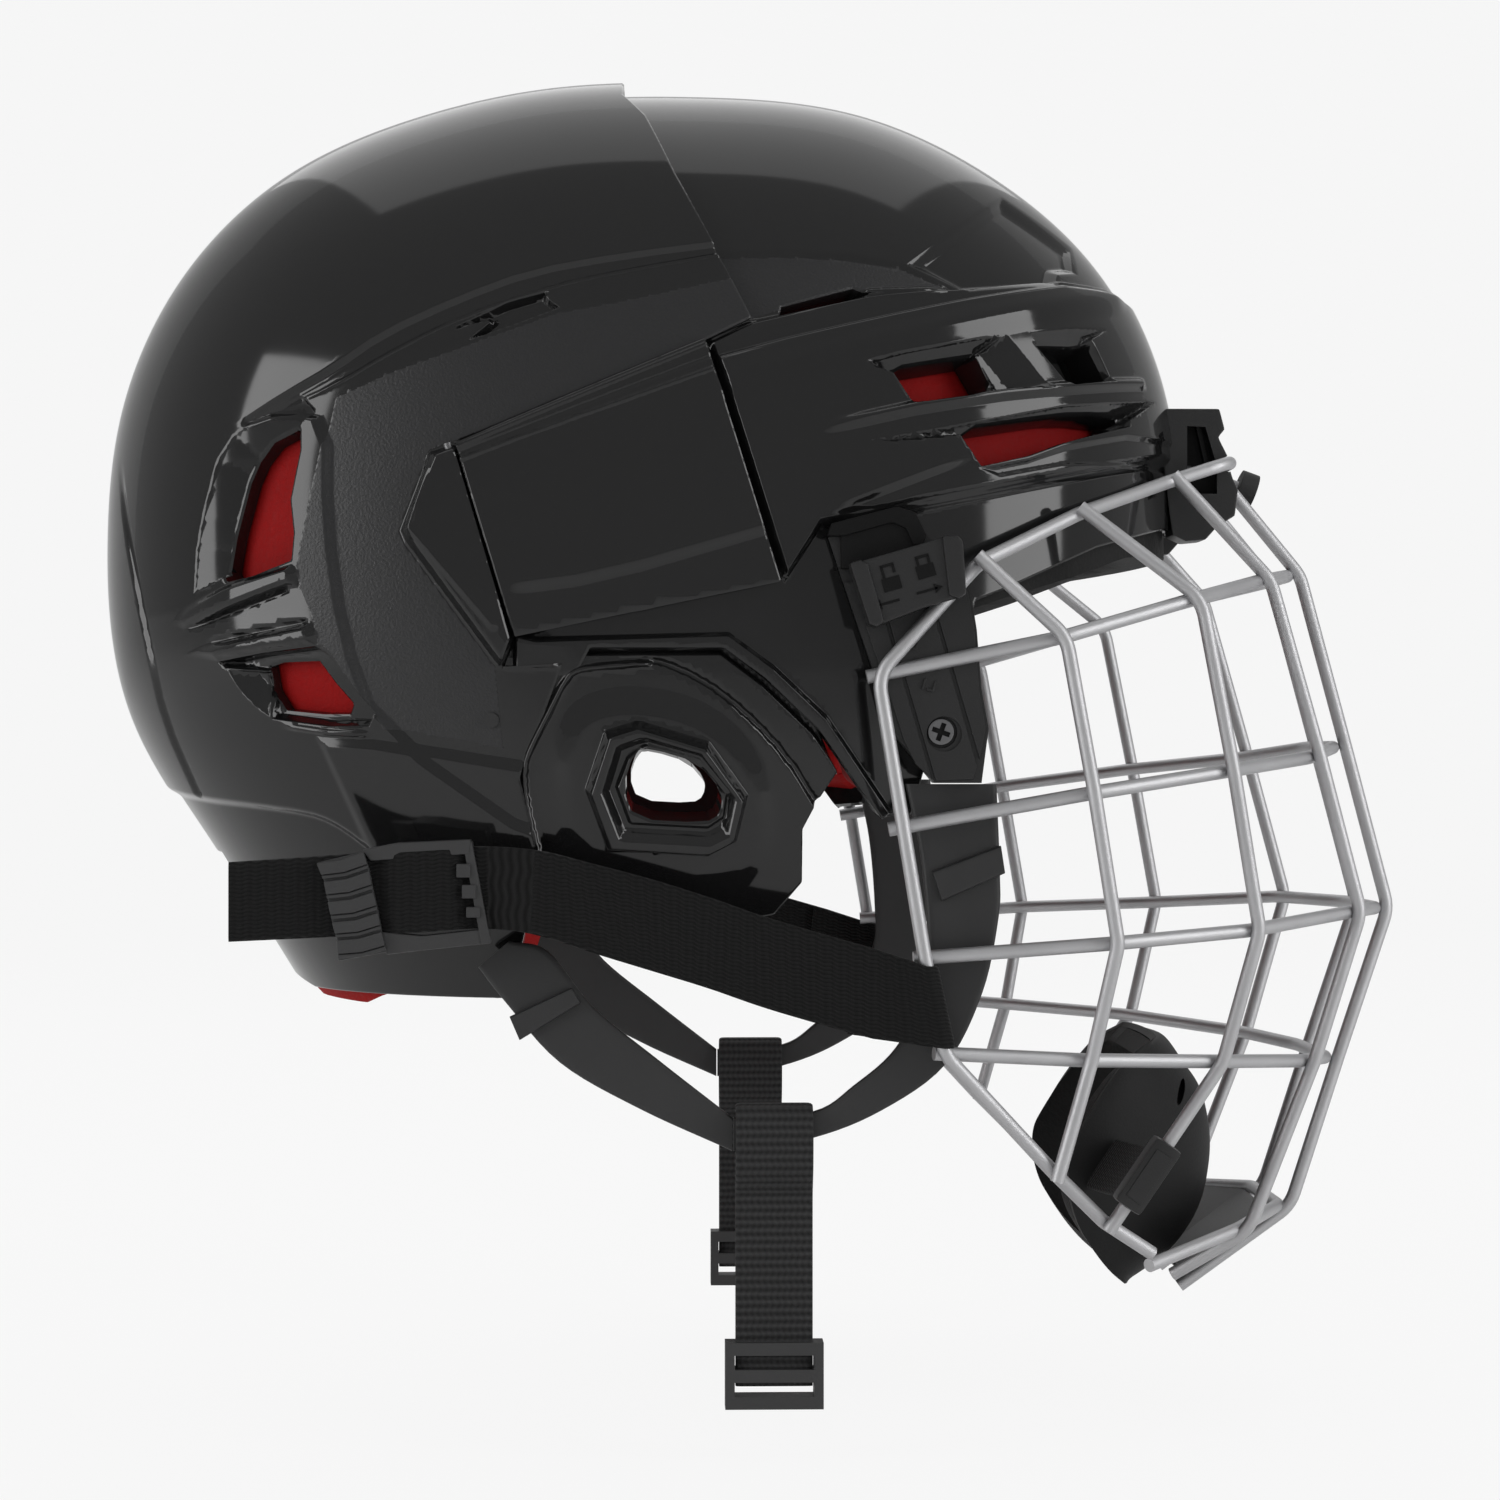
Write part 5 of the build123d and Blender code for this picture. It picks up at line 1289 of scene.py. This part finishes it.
def top_clip(side):
    """The screwed clip whose open hook carries the cage's rail, with a recessed web and rib in its window."""
    block = lump([(131.4, 52.9), (147.6, 52.9), (149.0, 47.6), (147.3, 45.6), (149.6, 41.0), (150.8, 35.6),
                  (152.4, 32.0), (151.6, 25.4), (147.0, 22.6), (144.0, 19.2), (138.9, 18.7), (135.4, 20.4),
                  (134.6, 25.7)], -37.0, -25.0, 0.7)
    through = (-40.0, -20.0, 0.0)
    rail = lump(round_outline(149.9, 38.7, 2.05, 24), *through)
    mouth = lump([(150.4, 40.4), (156.0, 41.4), (156.0, 36.0), (150.4, 37.0)], *through)
    window = lump([(139.2, 48.4), (143.9, 48.2), (146.9, 38.0), (146.9, 31.0), (139.2, 31.0)], *through)
    clip = merged("top_clip_" + side + "_moulding", [block], [rail, mouth, window], side)
    dress(clip, "front_shell", "bracket_matte", ["top_clip_" + side])
    added = [
        lump([(138.4, 49.0), (144.6, 48.8), (147.6, 38.0), (147.6, 30.4), (138.4, 30.4)], -33.0, -29.0, 0.0),
        lump([(141.6, 48.8), (142.8, 48.8), (145.6, 36.0), (144.5, 36.0)], -35.6, -32.0, 0.15),
    ]
    dress(merged("top_clip_web_" + side, added, (), side), "front_shell", "bracket_matte", (), dark_plastic_and_shade)


sleeve_middle, sleeve_angle = np.array([122.5, -79.0, -138.6]), math.radians(-55.7)
sleeve_run = np.array([math.cos(sleeve_angle), 0.0, -math.sin(sleeve_angle)])
sleeve_face = np.array([-sleeve_run[2], 0.0, sleeve_run[0]])


def cup_holder(side):
    """The rounded sleeve on the outer upright and the webbing from it to the chin cup."""
    turn = Matrix.Translation(sleeve_middle) @ Matrix.Rotation(sleeve_angle, 4, "Y")
    added = [
        lump(rect(-9.3, -3.7, 9.3, 3.7), -3.75, 3.75, 1.3, turn),
        lump(rect(-6.8, -2.2, 6.8, 2.2), -4.1, 0.0, 0.3, turn),
    ]
    dress(merged("cup_sleeve_" + side + "_moulding", added, (), side), "cage", "bracket_matte",
          ["cup_sleeves"])
    start, end, sag = np.array([117.6, -36.5, -141.0]), np.array([122.4, -76.0, -138.2]), 1.2
    half, thick = 7.4 * sleeve_run, 1.9
    middles = []
    for t in np.linspace(0, 1, 13):
        middles.append(start + t * (end - start) - sleeve_face * sag * math.sin(math.pi * t))
    upper, lower = [spot + half for spot in middles], [spot - half for spot in middles]
    out = [-sleeve_face] * len(middles)
    strap = ribbon("cup_strap_" + side + "_webbing", flip(upper, side), flip(lower, side), flip(out, side),
                   thick)
    dress(strap, "cage", "webbing_black", ["cup_straps"])


def bumper_ring():
    """The rubber ring on the stop peg in the middle of the cage's rail."""
    turn = turned(160.7, 34.8, math.radians(20)) @ Matrix.Rotation(math.radians(-90), 4, "Z")
    ring = lump(round_outline(0, 0, 5.0, 36), -2.4, 2.4, 1.3, turn)
    hollow = lump(round_outline(0, 0, 2.6, 36), 1.2, 4.0, 0.0, turn)
    dress(merged("stop_bumper_ring", [ring], [hollow]), "cage", "bumper_rubber", ["stop_bumper"])


bumper_ring()
for side in both_sides:
    side_buckle(side)
    lock(side)
    bracket_trim(side)
    top_clip(side)
    cup_holder(side)


# Chin cup

def cup_wall(name, node, near, far_in, slot, slots=()):
    """A wall of the chin cup between two depths, from its front and rear lines."""
    half_width, narrower, wrap, columns = 37.5, 0.25, math.radians(86), 41
    front = smooth([(134.5, -109.3), (138.6, -111.0), (143.4, -117.5), (148.2, -125.0), (150.6, -136.0),
                    (150.2, -146.0), (147.6, -156.0), (141.6, -165.0), (134.0, -170.6), (127.0, -173.4)])
    rear = smooth([(131.5, -109.6), (123.5, -114.5), (116.6, -122.0), (110.4, -130.6), (106.0, -138.0),
                   (105.6, -147.0), (108.2, -156.0), (113.4, -163.4), (118.8, -169.0), (124.0, -173.0)])
    rows = len(front)
    across = np.sin(np.linspace(-1, 1, columns) * wrap)
    forward = np.sqrt(1 - across * across)
    grid = np.zeros((rows, columns, 3))
    for k in range(rows):
        wide = half_width * (1 - narrower * abs(2 * k / (rows - 1) - 1) ** 2.5)
        grid[k, :, 0] = rear[k, 0] + (front[k, 0] - rear[k, 0]) * forward
        grid[k, :, 1] = wide * across
        grid[k, :, 2] = rear[k, 1] + (front[k, 1] - rear[k, 1]) * forward
    inward = np.array([100.0, 0.0, -141.0]) - grid
    inward /= np.linalg.norm(inward, axis=2, keepdims=True)
    layers = [grid + inward * near, grid + inward * far_in]
    points = np.vstack([layer.reshape(-1, 3) for layer in layers])
    i, j = np.meshgrid(np.arange(rows - 1), np.arange(columns - 1), indexing="ij")
    a = i * columns + j
    quads = np.stack([a, a + 1, a + columns + 1, a + columns], -1).reshape(-1, 4)
    total = rows * columns
    corner = np.arange(total).reshape(rows, columns)
    border = np.concatenate([corner[0, :-1], corner[:-1, -1], corner[-1, :0:-1], corner[:0:-1, 0]])
    ahead = np.roll(border, -1)
    walls = np.stack([border, ahead, ahead + total, border + total], 1)
    piece = mesh_of(name, points, np.vstack([quads, quads[:, ::-1] + total, walls]), None, 40.0)
    face_outward(piece)
    if slots:
        piece = merged(name, [piece], slots)
    return dress(piece, "cage", slot, [node])


cup_slots = []
for x, z, long, angle in ((112.5, -128.5, 3.4, -62), (129.5, -146.0, 3.8, -58), (140.0, -124.0, 3.4, -70)):
    opening = round_outline(0, 0, long, 24, 0.3)
    cup_slots.append(lump(opening, -60.0, 60.0, 0.0, turned(x, z, math.radians(angle))))
cup_wall("chin_cup_cover", "chin_cup_shell", 0.0, 2.0, "cup_matte", cup_slots)
cup_wall("chin_cup_foam", "chin_cup_pad", 2.3, 8.0, "foam_black")


# Carried-over pieces

for part in frame["record"]["subparts"]:
    node = nodes[part["node"]]
    if not node.hide_render:
        node.data.materials.clear()
        node.data.materials.append(finishes[part["material_slot"]])


# Studio

def panel_light(name, place, target, size, power):
    """A soft rectangular lamp that points at a target, in metres and watts."""
    lamp = bpy.data.lights.new(name, "AREA")
    lamp.shape, lamp.size, lamp.size_y, lamp.energy = "RECTANGLE", size[0], size[1], power
    thing = add_object(name, lamp)
    thing.location = place
    thing.rotation_euler = (Vector(target) - Vector(place)).to_track_quat("-Z", "Y").to_euler()


panel_light("overhead_panel", (0.0, 0.75, 0.95), (0.0, 0.55, 0.0), (1.15, 1.7), 4.2)
panel_light("left_panel", (-1.3, -0.75, 0.25), (0.0, 0.0, 0.0), (0.6, 1.3), 9.0)
panel_light("right_panel", (1.3, -0.7, 0.3), (0.05, 0.0, -0.03), (0.6, 1.3), 9.0)
panel_light("front_fill", (0.3, -1.6, -0.5), (0.05, 0.0, -0.05), (0.5, 0.3), 3.0)


def studio_world():
    """Pale surroundings that are brighter to the camera than to the object."""
    surroundings, more_for_camera = 0.42, 0.6
    world = bpy.data.worlds.new("studio")
    bpy.context.scene.world = world
    world.use_nodes = True
    tree = world.node_tree
    background = tree.nodes["Background"]
    background.inputs[0].default_value = (0.93, 0.93, 0.93, 1.0)
    path = tree.nodes.new("ShaderNodeLightPath")
    level = tree.nodes.new("ShaderNodeMath")
    level.operation = "MULTIPLY_ADD"
    level.inputs[1].default_value, level.inputs[2].default_value = more_for_camera, surroundings
    tree.links.new(path.outputs["Is Camera Ray"], level.inputs[0])
    tree.links.new(level.outputs[0], background.inputs[1])


studio_world()


def backdrop_finish():
    """Pale paper that shows evenly white to the camera and in gloss, and keeps a faint shadow."""
    finish = Finish("backdrop_paper", (0.9, 0.9, 0.9), 0.9)
    finish.set("Base Color", finish.blend(finish.noise(3.0), (0.89, 0.89, 0.89, 1.0),
                                          (0.91, 0.91, 0.91, 1.0)))
    tree = finish.tree
    path = tree.nodes.new("ShaderNodeLightPath")
    camera, gloss, through = (
        Value(finish, path.outputs[ray]) for ray in ("Is Camera Ray", "Is Glossy Ray", "Is Transmission Ray"))
    seen = (camera + gloss * 0.28 + through).clamp() * 0.93
    glow = tree.nodes.new("ShaderNodeEmission")
    glow.inputs[0].default_value = (0.96, 0.96, 0.96, 1.0)
    mix = tree.nodes.new("ShaderNodeMixShader")
    tree.links.new(seen.socket, mix.inputs[0])
    tree.links.new(finish.shader.outputs[0], mix.inputs[1])
    tree.links.new(glow.outputs[0], mix.inputs[2])
    output = next(node for node in tree.nodes if node.type == "OUTPUT_MATERIAL")
    tree.links.new(mix.outputs[0], output.inputs[0])
    return finish.material


def backdrop():
    """Floor and wall in one sheet, with a wide round bend between them."""
    floor, wide, bend, bend_start, top = -205.0, 5000.0, 700.0, 2500.0, 5000.0
    line = [(-wide, floor), (bend_start, floor)]
    for a in np.linspace(0.1, math.pi / 2, 12):
        line.append((bend_start + bend * math.sin(a), floor + bend * (1 - math.cos(a))))
    line.append((bend_start + bend, top))
    points = [(x, y, z) for y, z in line for x in (-wide, wide)]
    faces = [(2 * i, 2 * i + 1, 2 * i + 3, 2 * i + 2) for i in range(len(line) - 1)]
    piece = mesh_of("backdrop", points, faces)
    piece.data.materials.append(backdrop_finish())


backdrop()

# Camera

turn, pitch = math.radians(1.70), math.radians(0.17)
looking = Vector((math.sin(turn) * math.cos(pitch), math.cos(turn) * math.cos(pitch), math.sin(pitch)))
sideways = Vector((math.cos(turn), -math.sin(turn), 0.0))
upwards = sideways.cross(looking)
lens = bpy.data.cameras.new("camera")
lens.lens, lens.sensor_width = 81.0, 36.0
camera = add_object("camera", lens)
axes = Matrix((sideways, upwards, -looking)).transposed().to_4x4()
camera.matrix_world = Matrix.Translation(Vector((1.30, -899.60, -37.37)) * millimetre) @ axes
bpy.context.scene.camera = camera
bpy.context.scene.view_settings.view_transform = "Standard"
